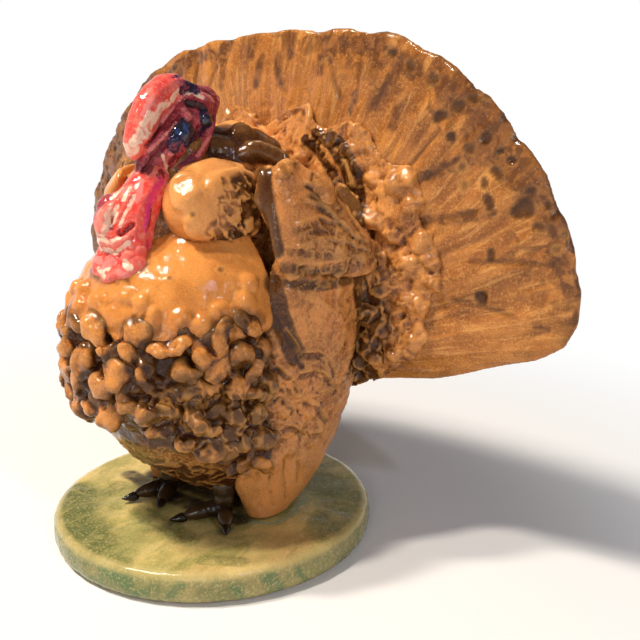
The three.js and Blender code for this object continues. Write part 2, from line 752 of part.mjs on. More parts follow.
function breastPieces() {
  const capSkin = solid(swell(bodyOuter, seam + capThickness)).intersect(solid(capCurtain()));
  const cap = [body, mantleForms, wings].reduce(
    (rest, other) => rest.subtract(clearOf(other)), capSkin);
  const rowForms = indices(tuftRowHeightShares.length).map(tuftRowForms);
  const rows = rowForms.map((forms, row) => {
    const near = [wings, body, ...rowForms.slice(Math.max(row - 1, 0), row)];
    const onStrip = fused(forms).add(stripSolid(row, 0)).subtract(curtainClear);
    const below = row > 0 ? onStrip.subtract(stripSolid(row - 1, seam)) : onStrip;
    const whole = near.reduce((rest, other) => rest.subtract(clearOf(other)), below);
    return piece(`breast_tufts_row_${row + 1}`, trimmed(whole), 'breast');
  });
  return [piece('breast_cap', trimmed(cap), 'breast'), ...rows];
}

const head = [limb(headShares, headHalfWidth, headHalfDepth, sideways, { stations: 10, sides: 16 })];
const upperBeak = [limb(upperBeakShares, beakHalfWidth, beakHalfDepth, sideways)];
const lowerBeak = [limb(lowerBeakShares, beakHalfWidth, beakHalfDepth, sideways)];
const snood = [limb(snoodShares, snoodRadius, snoodRadius, sideways, { stations: 10, sides: 12 })];
const cheeks = Object.values(sides).map(({ way }) => [cheekForm(way)]);

function headPieces() {
  const features = Object.entries(sides).flatMap(([side, { way }]) => [
    piece(`${side}_eye`, carved([eyeForm(way)], [head, snood]), 'eye'),
    piece(`${side}_cheek`, carved([cheekForm(way)], [head, snood, upperBeak, lowerBeak]), 'eye'),
  ]);
  return [
    ...features,
    piece('head', fused(head), 'flesh'),
    piece('snood', carved(snood, [head]), 'red'),
    piece('upper_beak', carved(upperBeak, [head, snood]), 'horn'),
    piece('lower_beak', carved(lowerBeak, [head, snood, upperBeak]), 'horn'),
  ];
}

function throatPieces() {
  const neck = [limb(neckShares, neckRadius, neckRadius, sideways, { sides: 14 })];
  const wattle = [limb(wattleShares, wattleHalfWidth, wattleHalfDepth, sideways,
    { stations: 9, sides: 12 })];
  const apron = [limb(apronShares, apronHalfWidth, apronHalfDepth, sideways,
    { stations: 7, sides: 14 })];
  const face = [head, upperBeak, lowerBeak, ...cheeks, mantleForms, body];
  const near = [...face, neck, snood];
  const offCap = (forms, neighbours) => trimmed(carved(forms, neighbours).subtract(capClear));
  return [
    piece('neck', offCap(neck, face), 'dark'),
    piece('wattle', offCap(wattle, near), 'red'),
    piece('wattle_apron', offCap(apron, [...near, wattle]), 'red'),
    piece('caruncles', offCap(caruncleForms(), [...near, wattle, apron]), 'flesh'),
  ];
}

function legPieces([side, places]) {
  const leg = [legForm(places)];
  const foot = footForms(places);
  const claws = places.toes.map((tip, index) => {
    const name = `${side}_claw_${index === 0 ? 'inner' : 'outer'}`;
    return piece(name, onGround(carved([clawForm(places, tip)], [foot])), 'claw');
  });
  return [
    piece(`${side}_leg`, onGround(carved(leg, [body, wings, foot])), 'toe'),
    piece(`${side}_foot`, onGround(carved(foot, [body, wings])), 'toe'),
    ...claws,
  ];
}

const turkey = new THREE.Group();
const bird = new THREE.Group();
bird.position.z = baseThickness + seam;
bird.add(
  ...bodyPieces(),
  ...tailPieces(),
  ...flanks.flatMap(flankPieces),
  ...breastPieces(),
  ...headPieces(),
  ...throatPieces(),
  ...Object.entries(footShares).flatMap(legPieces),
);
turkey.add(piece('base_disc', baseDisc(), 'baseGlaze'), bird);

export default turkey;
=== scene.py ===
"""Strutting turkey figure in hand-built glazed earthenware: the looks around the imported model.

Shapes are worked out in millimetres in the model's own frame and handed to Blender in metres.
Each clay piece starts from the solid of its node and is softened into a dense skin. Formulas and
strokes along pixels of the photograph press, line and paint it, and its node material reads how
deep each spot lies.
"""
import math

import bpy
import numpy as np
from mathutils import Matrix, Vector
from mathutils.bvhtree import BVHTree
from mathutils.kdtree import KDTree


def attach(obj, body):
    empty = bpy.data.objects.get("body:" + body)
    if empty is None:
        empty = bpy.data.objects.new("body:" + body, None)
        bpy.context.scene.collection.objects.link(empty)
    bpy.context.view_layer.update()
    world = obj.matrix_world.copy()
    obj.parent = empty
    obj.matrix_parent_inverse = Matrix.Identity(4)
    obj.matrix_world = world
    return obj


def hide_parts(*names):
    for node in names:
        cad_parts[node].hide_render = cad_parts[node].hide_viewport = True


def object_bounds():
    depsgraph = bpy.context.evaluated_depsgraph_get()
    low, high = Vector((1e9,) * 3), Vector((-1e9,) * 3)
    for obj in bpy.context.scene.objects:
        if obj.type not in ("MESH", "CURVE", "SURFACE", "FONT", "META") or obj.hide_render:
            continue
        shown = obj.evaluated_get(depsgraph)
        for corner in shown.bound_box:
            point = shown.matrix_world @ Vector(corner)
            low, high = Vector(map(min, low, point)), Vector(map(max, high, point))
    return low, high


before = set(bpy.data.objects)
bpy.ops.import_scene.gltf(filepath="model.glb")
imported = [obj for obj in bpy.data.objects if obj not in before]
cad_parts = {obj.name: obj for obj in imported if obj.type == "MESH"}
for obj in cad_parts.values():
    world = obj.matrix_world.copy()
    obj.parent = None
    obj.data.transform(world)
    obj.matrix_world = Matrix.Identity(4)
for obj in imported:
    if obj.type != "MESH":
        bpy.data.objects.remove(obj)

CAD_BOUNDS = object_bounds()
MM = 0.001

# The camera of the photograph, fitted to the rim of the base
PHOTO_SIDE = 640
PHOTO_FOCAL = 800
CAMERA_PLACE = np.array([214.43, -192.39, 149.18])
CAMERA_AZIMUTH = math.radians(40)
CAMERA_PITCH = math.radians(13.64)
SENSOR_WIDTH = 36
# The two main lamps, in metres: the belly's shadow on the base and the paired glints place them
KEY_LAMPS = ((-0.36, -0.37, 0.95), (-0.20, -0.43, 0.97))
# The power of each of them in watts, and the place that every lamp is aimed at
KEY_POWER = 6.4
LAMP_AIM = (0.0, 0.0, 0.09)

# The tail's root, from which its feathers spread, and how far its rim and the glaze's measure of
# reach go
FAN_ROOT = np.array([0.0, 37.0, 57.3])
FAN_RIM = 134
FAN_REACH = 140
# Where the fan's two faces lie near its rim
FAN_FRONT = 31.0
FAN_BACK = 43.0
# The top of the base
BASE_TOP = 12.0
# How far a skin is moved out of its solid, which closes the joints between the pieces
JOINT_FILL = 0.25


# Numbers and noise

def smooth(low, high, value):
    share = np.clip((value - low) / (high - low), 0, 1)
    return share * share * (3 - 2 * share)


def lattice(cell, seed):
    """A repeatable number from 0 to 1 for each whole-number place, by a hash of its bits."""
    x, y, z = (cell[..., axis].astype(np.int64).astype(np.uint32) for axis in range(3))
    mixed = x * np.uint32(73856093) ^ y * np.uint32(19349663) ^ z * np.uint32(83492791)
    mixed = mixed + np.uint32((seed * 668265263 + 374761393) % 2 ** 32)
    mixed = (mixed ^ (mixed >> np.uint32(15))) * np.uint32(2246822519)
    mixed = (mixed ^ (mixed >> np.uint32(13))) * np.uint32(3266489917)
    return ((mixed ^ (mixed >> np.uint32(16))) & np.uint32(0xFFFFFF)) / float(0x1000000)


# Turns the noise's grid away from the figure's axes
GRID_TURN = np.array([[0.36, 0.48, -0.8], [-0.8, 0.6, 0.0], [0.48, 0.64, 0.6]])


def noise(places, size, seed=0):
    """Smooth unevenness from -1 to 1, with lumps about as large as size."""
    scaled = places @ GRID_TURN / size + 100
    cell = np.floor(scaled)
    part = scaled - cell
    part = part * part * part * (part * (part * 6 - 15) + 10)
    total = np.zeros(len(places))
    for corner in np.ndindex(2, 2, 2):
        weight = np.prod(np.where(corner, part, 1 - part), axis=1)
        total += weight * lattice(cell + np.array(corner), seed)
    return 2 * total - 1


def rough(places, size, seed, octaves=3):
    total = sum(noise(places, size / 2 ** step, seed + step) / 2 ** step for step in range(octaves))
    return total / 1.5


def pebbles(places, size, seed):
    """Distance to the nearest and to the second nearest of scattered points, in sizes."""
    scaled = places / size + 100
    cell = np.floor(scaled)
    nearest = np.full(len(places), 9.0)
    second = np.full(len(places), 9.0)
    for step in np.ndindex(3, 3, 3):
        there = cell + np.array(step) - 1
        spot = there + np.stack([lattice(there, seed + axis) for axis in range(3)], axis=1)
        away = np.linalg.norm(spot - scaled, axis=1)
        second = np.minimum(second, np.maximum(nearest, away))
        nearest = np.minimum(nearest, away)
    return nearest, second


def scales(across, along, width, length):
    """Overlapping rounded feathers: 0 in the valley under a feather's edge, 1 on its lip."""
    best = np.zeros(len(across))
    row = np.floor(along / length)
    for step in (0, 1):
        this_row = row - step
        shift = 0.5 * (this_row % 2)
        column = np.floor(across / width - shift + 0.5)
        middle = (column + shift) * width
        sideways = (across - middle) / (0.62 * width)
        reach = (along - this_row * length) / (1.75 * length) + 0.55 * sideways ** 2
        best = np.maximum(best, np.where(reach < 1, np.clip(reach, 0, 1), 0))
    return best


# The photograph's camera and places on the figure that it shows

CAMERA_RIGHT = np.array([math.cos(CAMERA_AZIMUTH), math.sin(CAMERA_AZIMUTH), 0])
CAMERA_AHEAD = np.array([-math.sin(CAMERA_AZIMUTH) * math.cos(CAMERA_PITCH),
                         math.cos(CAMERA_AZIMUTH) * math.cos(CAMERA_PITCH),
                         -math.sin(CAMERA_PITCH)])
CAMERA_UP = np.cross(CAMERA_RIGHT, CAMERA_AHEAD)


def node_mesh(node):
    """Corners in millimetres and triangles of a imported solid."""
    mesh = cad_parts[node].data
    corners = np.empty(len(mesh.vertices) * 3, np.float32)
    mesh.vertices.foreach_get("co", corners)
    mesh.calc_loop_triangles()
    triangles = np.empty(len(mesh.loop_triangles) * 3, np.int32)
    mesh.loop_triangles.foreach_get("vertices", triangles)
    return corners.reshape(-1, 3).astype(float) / MM, triangles.reshape(-1, 3)


def joined(forms):
    """The corners and faces of several forms as those of one."""
    counts = np.cumsum([0] + [len(corners) for corners, _ in forms])
    faces = [faces + count for (_, faces), count in zip(forms, counts)]
    return np.concatenate([corners for corners, _ in forms]), np.concatenate(faces)


def surface_of(forms):
    """Forms as one surface that a ray can hit."""
    corners, faces = joined(forms)
    return BVHTree.FromPolygons(corners.tolist(), faces.tolist())


def surface_of_nodes(*nodes):
    return surface_of([node_mesh(node) for node in nodes])


def surface_of_skins(skins):
    return surface_of([(skin.corners, skin.quads) for skin in skins])


def ray_hit(pixel, surface):
    """The place and the normal of what the photograph shows at a pixel, or None beside it."""
    half = PHOTO_SIDE / 2
    ray = (CAMERA_AHEAD + CAMERA_RIGHT * (pixel[0] - half) / PHOTO_FOCAL
           + CAMERA_UP * (half - pixel[1]) / PHOTO_FOCAL)
    place, normal, _, _ = surface.ray_cast(Vector(CAMERA_PLACE), Vector(ray).normalized())
    return (None, None) if place is None else (np.array(place), np.array(normal))


def seen_at(pixel, surface):
    return ray_hit(pixel, surface)[0]


def seen_path(pixels, surface):
    places = [seen_at(pixel, surface) for pixel in pixels]
    return np.array([place for place in places if place is not None])


def pixel_size(place):
    """How many millimetres a pixel of the photograph spans at a place."""
    return float((place - CAMERA_PLACE) @ CAMERA_AHEAD) / PHOTO_FOCAL


# Forms: corners and faces that are joined into a skin

def egg(middle, half, across=(1, 0, 0), upward=(0, 0, 1), squareness=1.0, steps=14):
    """A rounded lump. Squareness under 1 makes it blockier."""
    x_axis = np.array(across, float) / np.linalg.norm(across)
    z_axis = np.array(upward, float) - np.dot(upward, x_axis) * x_axis
    z_axis = z_axis / np.linalg.norm(z_axis)
    axes = np.stack([x_axis, np.cross(z_axis, x_axis), z_axis])
    rings = steps // 2
    polar = np.pi * np.arange(1, rings) / rings
    around = 2 * np.pi * np.arange(steps) / steps
    ball = np.stack([np.outer(np.sin(polar), np.cos(around)), np.outer(np.sin(polar), np.sin(around)),
                     np.outer(np.cos(polar), np.ones(steps))], axis=-1).reshape(-1, 3)
    ball = np.concatenate([[[0, 0, 1]], ball, [[0, 0, -1]]])
    ball = np.sign(ball) * np.abs(ball) ** squareness
    faces = cap_faces(rings - 1, steps)
    return (ball * half) @ axes + middle, faces


def cap_faces(rings, steps):
    """Triangles of rings of points that are closed by a pole at each end."""
    faces = []
    last = rings * steps + 1
    for side in range(steps):
        after = (side + 1) % steps
        faces.append((0, 1 + side, 1 + after))
        faces.append((last, last - steps + after, last - steps + side))
        for ring in range(rings - 1):
            here, below = 1 + ring * steps, 1 + (ring + 1) * steps
            faces.append((here + side, below + side, below + after))
            faces.append((here + side, below + after, here + after))
    return np.array(faces)


def rope(places, radii, flatness=1.0, flat_along=(0, 0, 1), steps=10):
    """A limb along places, rounded at both ends, flattened along one direction."""
    ahead = np.gradient(places, axis=0)
    ahead /= np.linalg.norm(ahead, axis=1)[:, None]
    thin = flat_along - ahead * (ahead @ flat_along)[:, None]
    thin /= np.linalg.norm(thin, axis=1)[:, None]
    wide = np.cross(ahead, thin)
    around = 2 * np.pi * np.arange(steps) / steps
    rings = (places[:, None] + radii[:, None, None] * (np.cos(around)[None, :, None] * wide[:, None]
             + flatness * np.sin(around)[None, :, None] * thin[:, None]))
    ends = [places[0] - ahead[0] * radii[0] * 0.8, places[-1] + ahead[-1] * radii[-1] * 0.8]
    corners = np.concatenate([[ends[0]], rings.reshape(-1, 3), [ends[1]]])
    return corners, cap_faces(len(places), steps)


def mirror(form):
    corners, faces = form
    return corners * [-1, 1, 1], faces[:, ::-1]


def pairs(forms):
    """Each form and its mirror image."""
    return [half for form in forms for half in (form, mirror(form))]


def on_side(forms, side):
    """Forms that were made on the left side, on the side that is asked for."""
    return forms if side > 0 else [mirror(form) for form in forms]


# Skins: dense quads round joined forms

class Skin:
    """The surface of one piece: corners in millimetres, quads, and a layer of values per corner."""

    def __init__(self, name, nodes, extra=(), voxel=0.7, soften=6, fill=JOINT_FILL, keep_nodes=True):
        self.name = name
        self.nodes = nodes
        forms = [node_mesh(node) for node in nodes] if keep_nodes else []
        self.corners, self.quads = remeshed([*forms, *extra], voxel)
        self.voxel = voxel
        self.joint_pool = 0.6
        self.layers = {}
        self.soften(soften)
        self.move(fill)

    def around(self, values):
        """The mean of the values at the neighbours of each corner."""
        a, b, c, d = self.quads.T
        to = np.concatenate([a, a, b, b, c, c, d, d])
        of = np.concatenate([b, d, a, c, b, d, c, a])
        count = np.maximum(np.bincount(to, minlength=len(self.corners)), 1)
        columns = values.reshape(len(values), -1)
        sums = [np.bincount(to, column[of], len(values)) for column in columns.T]
        return (np.stack(sums, axis=1) / count[:, None]).reshape(values.shape)

    def soften(self, rounds):
        for _ in range(rounds):
            self.corners += 0.5 * (self.around(self.corners) - self.corners)

    def normals(self):
        a, b, c, d = (self.corners[column] for column in self.quads.T)
        faces = np.cross(c - a, d - b)
        normals = np.stack([np.bincount(self.quads.ravel(), np.repeat(faces[:, axis], 4),
                                        len(self.corners)) for axis in range(3)], axis=1)
        return normals / np.maximum(np.linalg.norm(normals, axis=1), 1e-9)[:, None]

    def move(self, distance):
        self.corners = self.corners + self.normals() * np.reshape(distance, (-1, 1))

    def depth(self, rounds):
        """How far each corner lies below the surface smoothed over some rounds, in millimetres."""
        smoothed = self.corners.copy()
        for _ in range(rounds):
            smoothed += 0.9 * (self.around(smoothed) - smoothed)
        return np.einsum("ij,ij->i", smoothed - self.corners, self.normals())

    def layer(self, name):
        return self.layers.setdefault(name, np.zeros(len(self.corners)))

    def paint(self, name, weight):
        self.layers[name] = np.clip(np.maximum(self.layer(name), weight), 0, 1)

    def near(self, path, both_sides):
        """Distance of each corner from a path, or from its mirror image where that is nearer."""
        path = np.atleast_2d(path)
        starts, ends = (path[:-1], path[1:]) if len(path) > 1 else (path, path)
        best = np.full(len(self.corners), np.inf)
        for side in ((1, -1) if both_sides else (1,)):
            places = self.corners * [side, 1, 1]
            for start, end in zip(starts, ends):
                step = end - start
                share = np.clip((places - start) @ step / max(step @ step, 1e-9), 0, 1)
                best = np.minimum(best, np.linalg.norm(places - start - share[:, None] * step, axis=1))
        return best

    def stroke(self, pixels, width, lift=0.0, paint=None, strength=1.0, surface=None, both_sides=True):
        """Presses or paints along pixels of the photograph. The width in pixels is to each side."""
        path = seen_path(pixels, surface)
        if len(path) == 0:
            return
        away = self.near(path, both_sides) / (width * pixel_size(path[0]))
        if lift:
            self.move(lift * np.clip(1 - away ** 2, 0, 1) ** 1.5)
        if paint:
            self.paint(paint, strength * (1 - smooth(0.55, 1.05, away)))

    def strokes(self, table, layer, surface, lift=0.0, widen=1.0, strength=1.0, both_sides=True):
        """Strokes from a table of paths with their widths and, where it has them, strengths."""
        for path, width, *share in table:
            self.stroke(path, widen * width, lift, layer, strength * (share[0] if share else 1),
                        surface, both_sides)


def thumbed_flat(skin, pixel, reach, surface, share):
    """A flat patch that glints in the photograph's view. The reach is in pixels."""
    place = seen_at(pixel, surface)
    if place is None:
        return
    lamp = np.mean(KEY_LAMPS, axis=0) / MM
    facing = toward(toward(CAMERA_PLACE - place) + toward(lamp - place))
    for side in (1, -1):
        middle, normal = place * [side, 1, 1], facing * [side, 1, 1]
        away = np.linalg.norm(skin.corners - middle, axis=1) / (reach * pixel_size(place))
        weight = share * (1 - smooth(0.45, 1.0, away))
        skin.corners -= normal * (((skin.corners - middle) @ normal) * weight)[:, None]


def remeshed(forms, voxel):
    """Forms joined and wrapped in one skin of quads about as large as voxel."""
    corners, faces = joined(forms)
    mesh = bpy.data.meshes.new("forms")
    mesh.from_pydata((corners * MM).tolist(), [], faces.tolist())
    shape = bpy.data.objects.new("forms", mesh)
    bpy.context.scene.collection.objects.link(shape)
    wrap = shape.modifiers.new("wrap", "REMESH")
    wrap.mode = "VOXEL"
    wrap.voxel_size = voxel * MM
    shown = shape.evaluated_get(bpy.context.evaluated_depsgraph_get())
    result = shown.to_mesh()
    points = np.empty(len(result.vertices) * 3, np.float32)
    result.vertices.foreach_get("co", points)
    loops = np.empty(len(result.loops), np.int32)
    result.loops.foreach_get("vertex_index", loops)
    shown.to_mesh_clear()
    bpy.data.objects.remove(shape)
    bpy.data.meshes.remove(mesh)
    return points.reshape(-1, 3).astype(float) / MM, loops.reshape(-1, 4)


def hand_pressed(skin, amount, size, seed):
    """The slight unevenness that fingers leave in clay."""
    skin.move(amount * rough(skin.corners, size, seed))


def glaze_layers(skin, deep=0.5, deep_broad=1.4):
    """Layers for the glaze: it pools where the surface is hollow and thins out on its crests."""
    fine = skin.depth(max(2, round(3.0 / skin.voxel)))
    broad = skin.depth(round(22.0 / skin.voxel))
    skin.paint("pool", np.clip(fine / deep, 0, 1) * 0.6 + np.clip(broad / deep_broad, 0, 1) * 0.8)
    skin.paint("crest", np.clip(-fine / deep, 0, 1) * 0.6 + np.clip(-broad / deep_broad, 0, 1) * 0.5)


# Node materials

def colour(red, green, blue):
    """A colour of the photograph, 0 to 255 a channel, as Blender's linear light."""
    shares = np.array([red, green, blue]) / 255
    linear = np.where(shares <= 0.04045, shares / 12.92, ((shares + 0.055) / 1.055) ** 2.4)
    return (*linear, 1.0)


class Nodes:
    """A node tree that is built up node by node."""

    def __init__(self, tree):
        self.tree = tree

    def wire(self, source, target):
        """Links an output to an input, or sets the input to a number or a colour."""
        if hasattr(source, "is_output"):
            self.tree.links.new(source, target)
        else:
            target.default_value = source

    def add(self, kind, inputs=None, **settings):
        node = self.tree.nodes.new(kind)
        for key, value in settings.items():
            setattr(node, key, value)
        for key, value in (inputs or {}).items():
            self.wire(value, node.inputs[key])
        return node

    def maths(self, operation, first, second):
        return self.add("ShaderNodeMath", {0: first, 1: second}, operation=operation).outputs[0]

    def times(self, first, *others):
        for other in others:
            first = self.maths("MULTIPLY", first, other)
        return first

    def range(self, value, low, high, to_low=0.0, to_high=1.0, kind="SMOOTHSTEP"):
        spans = {"From Min": low, "From Max": high, "To Min": to_low, "To Max": to_high}
        return self.add("ShaderNodeMapRange", {"Value": value, **spans},
                        interpolation_type=kind).outputs["Result"]


class Glaze(Nodes):
    """A node material that is built up layer by layer on its base colour."""

    def __init__(self, name, base, coat=0.08, specular=0.25):
        self.material = bpy.data.materials.new(name)
        self.material.use_nodes = True
        super().__init__(self.material.node_tree)
        self.shader = self.tree.nodes["Principled BSDF"]
        for key, value in (("IOR", 1.5), ("Specular IOR Level", specular), ("Coat Weight", coat),
                           ("Coat Roughness", 0.05)):
            self.shader.inputs[key].default_value = value
        self.place = self.add("ShaderNodeTexCoord").outputs["Object"]
        self.current = self.add("ShaderNodeRGB").outputs[0]
        self.current.default_value = colour(*base)

    def noise(self, size, detail=3.0, distortion=0.0, stretch=None, turn=0.0):
        """Noise from 0 to 1 whose lumps are about size millimetres."""
        place = self.place
        if stretch:
            place = self.add("ShaderNodeMapping", {"Vector": place, "Scale": stretch,
                                                   "Rotation": (0, 0, turn)}).outputs[0]
        return self.add("ShaderNodeTexNoise", {"Vector": place, "Scale": 1 / (size * MM),
                        "Detail": detail, "Distortion": distortion}).outputs["Fac"]

    def layer(self, name):
        return self.add("ShaderNodeAttribute", attribute_name=name).outputs["Fac"]

    def blend(self, amount, tone):
        """Lays another colour over the current one."""
        tone = tone if len(tone) == 4 else colour(*tone)
        self.current = self.add("ShaderNodeMix", {"Factor": amount, 6: self.current, 7: tone},
                                data_type="RGBA").outputs[2]

    def tint(self, layer, strength, tone):
        """Lays a colour on where the skin was painted."""
        self.blend(self.times(self.layer(layer), strength), tone)

    def cloud(self, noise, span, tone):
        """Lays a colour on where a noise is high."""
        self.blend(self.range(self.noise(*noise), *span), tone)

    def flecks(self, size, low, high, strength, tone):
        """Specks of another colour. The strength is a number or a value that varies."""
        self.blend(self.times(self.range(self.noise(size, 2.0), low, high), strength), tone)

    def swirls(self, size, width, strength, tone, mask=1.0):
        """Thin curling lines where a noise passes its middle value."""
        wave = self.noise(size, 2.5, 2.2)
        away = self.maths("ABSOLUTE", self.maths("SUBTRACT", wave, 0.5), 0.0)
        self.blend(self.times(self.range(away, 0.0, width, 1.0, 0.0), strength, mask), tone)

    def done(self, bump_size=1.2, bump=0.25, rough_low=0.10, rough_high=0.26):
        """The finished material. Its gloss is wetter where glaze pools."""
        gloss = self.range(self.noise(2.5, 4.0), 0.35, 0.7, rough_low, rough_high)
        wetter = self.range(self.layer("pool"), 0.1, 0.8, 1.0, 0.45)
        fine = self.times(self.noise(bump_size * 0.28, 2.0), 0.12)
        height = self.maths("ADD", self.noise(bump_size, 3.0, 0.4), fine)
        bumps = self.add("ShaderNodeBump", {"Height": height, "Strength": bump,
                                            "Distance": 0.5 * MM}).outputs[0]
        for key, source in (("Base Color", self.current), ("Roughness", self.times(gloss, wetter)),
                            ("Normal", bumps), ("Coat Normal", bumps)):
            self.wire(source, self.shader.inputs[key])
        return self.material


DEEP_BROWN = (58, 28, 11)
PAINTED_SHADE_BROWN = (62, 32, 15)
GOLD = (222, 160, 86)


def honey_glaze(name, light, shade, pool_tone=DEEP_BROWN, fleck=0.35, swirl=0.35, pool_gain=1.0,
                crest=0.3):
    """The figure's glaze: honey where it is thin, brown where it pools and in painted shade, with a
    golden mottle.
    """
    glaze = Glaze(name, light)
    glaze.cloud((14, 4.0, 0.8), (0.36, 0.66), shade)
    wavering = glaze.times(glaze.range(glaze.noise(4.5, 4.0, 1.0), 0.3, 0.75), 0.3)
    pooled = glaze.times(glaze.layer("pool"), pool_gain)
    depth = glaze.range(glaze.maths("ADD", pooled, wavering), 0.15, 0.9)
    glaze.blend(glaze.times(glaze.range(depth, 0.0, 0.5), 0.75), middle_tone(shade))
    glaze.blend(glaze.range(depth, 0.35, 1.0), pool_tone)
    uneven = glaze.range(glaze.noise(3.5, 4.0, 0.8), 0.25, 0.6, 0.8, 1.0)
    # Painted shade: brown laid on where the shade layer marks seams, gaps, the wing's channel, the flap's
    # lower side and the hump
    glaze.tint("shade", uneven, PAINTED_SHADE_BROWN)
    thin = glaze.times(glaze.range(depth, 0.1, 0.8, 1.0, 0.12),
                       glaze.range(glaze.layer("shade"), 0.0, 1.0, 1.0, 0.2))
    glaze.flecks(0.75, 0.48, 0.62, glaze.times(thin, fleck), GOLD)
    glaze.flecks(0.6, 0.52, 0.64, 0.22, middle_tone(shade))
    glaze.swirls(7.0, 0.018, swirl, GOLD, thin)
    glaze.tint("crest", crest, GOLD)
    glaze.tint("lip", 0.7, GOLD)
    speckle = glaze.range(glaze.noise(0.9, 3.0, 0.4), 0.42, 0.6)
    glaze.blend(glaze.times(glaze.layer("speckle"), 0.4, speckle), (200, 144, 92))
    glaze.blend(glaze.layer("dark"), (92, 52, 26))
    return glaze


def middle_tone(shade):
    """A glaze's shade where it lies a little thicker, as linear light."""
    red, green, blue, _ = colour(*shade)
    return (red * 0.5, green * 0.42, blue * 0.36, 1.0)


# Handing a skin to Blender

def to_object(skin, material):
    mesh = bpy.data.meshes.new(skin.name)
    inside = np.clip(skin.corners * MM, CAD_BOUNDS[0], CAD_BOUNDS[1])
    mesh.from_pydata(inside.tolist(), [], skin.quads.tolist())
    mesh.shade_smooth()
    for name, values in skin.layers.items():
        mesh.attributes.new(name, "FLOAT", "POINT").data.foreach_set("value", values.astype(np.float32))
    made = bpy.data.objects.new(skin.name, mesh)
    bpy.context.scene.collection.objects.link(made)
    made.data.materials.append(material)
    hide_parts(*skin.nodes)
    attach(made, "root")
    return made


def tree_of(places):
    tree = KDTree(len(places))
    for index, place in enumerate(places):
        tree.insert(place, index)
    tree.balance()
    return tree


def distance_to(places, corners, most):
    """How far each corner is from the nearest of the places."""
    tree = tree_of(places)
    return np.array([min(tree.find(corner)[2], most) for corner in corners])


def lute_joints(skins, reach=3.2, height=0.8):
    """The slip between two pieces: both swell towards their joint, and glaze runs into it."""
    moves = []
    for skin in skins:
        low, high = skin.corners.min(0) - reach, skin.corners.max(0) + reach
        others = [other.corners for other in skins if other is not skin]
        close = np.concatenate([corners[np.all((corners > low) & (corners < high), axis=1)]
                                for corners in others])
        away = distance_to(close, skin.corners, reach) / reach
        for _ in range(2):
            away = 0.5 * away + 0.5 * skin.around(away)
        moves.append(away)
    for skin, away in zip(skins, moves):
        size = skin.corners.max(0) - skin.corners.min(0)
        slip = height * min(1, size.min() / 20)
        skin.move(slip * np.clip(1 - away, 0, 1) ** 2)
        uneven = 0.75 + 0.25 * rough(skin.corners, 5, 17, 2)
        skin.paint("pool", skin.layer("pool")
                   + skin.joint_pool * np.clip(1 - away, 0, 1) ** 1.5 * uneven)


# Directions and coordinates on the figure

def toward(vector):
    vector = np.array(vector, float)
    return vector / np.linalg.norm(vector)


def polar(corners):
    """The angle from straight up and the distance from the fan's root, in the fan's plane."""
    across, up = corners[:, 0] - FAN_ROOT[0], corners[:, 2] - FAN_ROOT[2]
    return np.arctan2(across, up), np.hypot(across, up)


def leaf_coordinates(skin, side, root, tip, facing):
    """Distances across and along a leaf that points from its root to its tip."""
    along = toward(np.array(tip) - root)
    across = toward(np.cross(facing, along))
    away = skin.corners * [side, 1, 1] - root
    return away @ across, away @ along


def feathered(skin, across, along, width, length, amount, mask, lip):
    """Presses overlapping feathers into a skin and thins the glaze on their lips."""
    wander = 1.6 * rough(skin.corners, 12, 31, 2)
    value = scales(across + wander, along + wander, width, length)
    lips = value * mask
    for _ in range(2):
        lips = 0.5 * lips + 0.5 * skin.around(lips)
    skin.move(amount * (lips - 0.5 * mask))
    skin.paint("lip", lip * smooth(0.62, 0.9, lips))


# Lumps of clay that are pressed on where the photograph shows them

def pressed_on(surface, pixel, half, turn, rise, sunk, squareness):
    """A lump with its middle at a pixel. Half holds its half width and half height in pixels."""
    place, normal = ray_hit(pixel, surface)
    if place is None:
        return None
    turn = math.radians(turn)
    level = CAMERA_RIGHT * math.cos(turn) + CAMERA_UP * math.sin(turn)
    wide = toward(level - normal * (level @ normal))
    sizes = []
    for direction, pixels in zip((wide, np.cross(normal, wide)), half):
        shown = math.sqrt(max(1 - float(direction @ CAMERA_AHEAD) ** 2, 0.3))
        sizes.append(pixels * pixel_size(place) / shown)
    return egg(place - normal * sunk, (*sizes, rise), wide, normal, squareness)


def lumps(surface, table, rise, sunk, squareness):
    """Lumps from a table that gives each one's pixel, half sizes in pixels and turn."""
    made = [pressed_on(surface, (x, y), (wide, high), turn, rise, sunk, squareness)
            for x, y, wide, high, turn in table]
    return [form for form in made if form]


def pressed_rope(surface, pixels, width, flatness=0.7, sunk=0.3):
    """A rope of clay along pixels. The width in pixels is from its middle to its edge."""
    path = seen_path(pixels, surface)
    if len(path) < 2:
        return []
    steps = np.linspace(0, len(path) - 1, 4 * len(path))
    dense = np.stack([np.interp(steps, np.arange(len(path)), column) for column in path.T], axis=1)
    for _ in range(3):
        dense[1:-1] = (dense[:-2] + 2 * dense[1:-1] + dense[2:]) / 4
    radius = width * pixel_size(path[0])
    ends = np.sin(np.pi * np.linspace(0.12, 0.88, len(dense))) ** 0.6
    inward = toward(CAMERA_AHEAD)
    return [rope(dense + inward * radius * sunk, radius * ends, flatness, inward)]


def loose_lump(place, normal, draw, low, high, rise):
    """A lump of random size and turn that sits on a surface."""
    level = np.cross(normal, toward(draw.normal(size=3)))
    half = (draw.uniform(low, high), draw.uniform(low, high), draw.uniform(*rise))
    tilt = toward(normal + draw.normal(size=3) * 0.18)
    middle = place + normal * (0.45 * half[2])
    return egg(middle, half, toward(level), tilt, draw.uniform(0.8, 1.15))


# Base slab

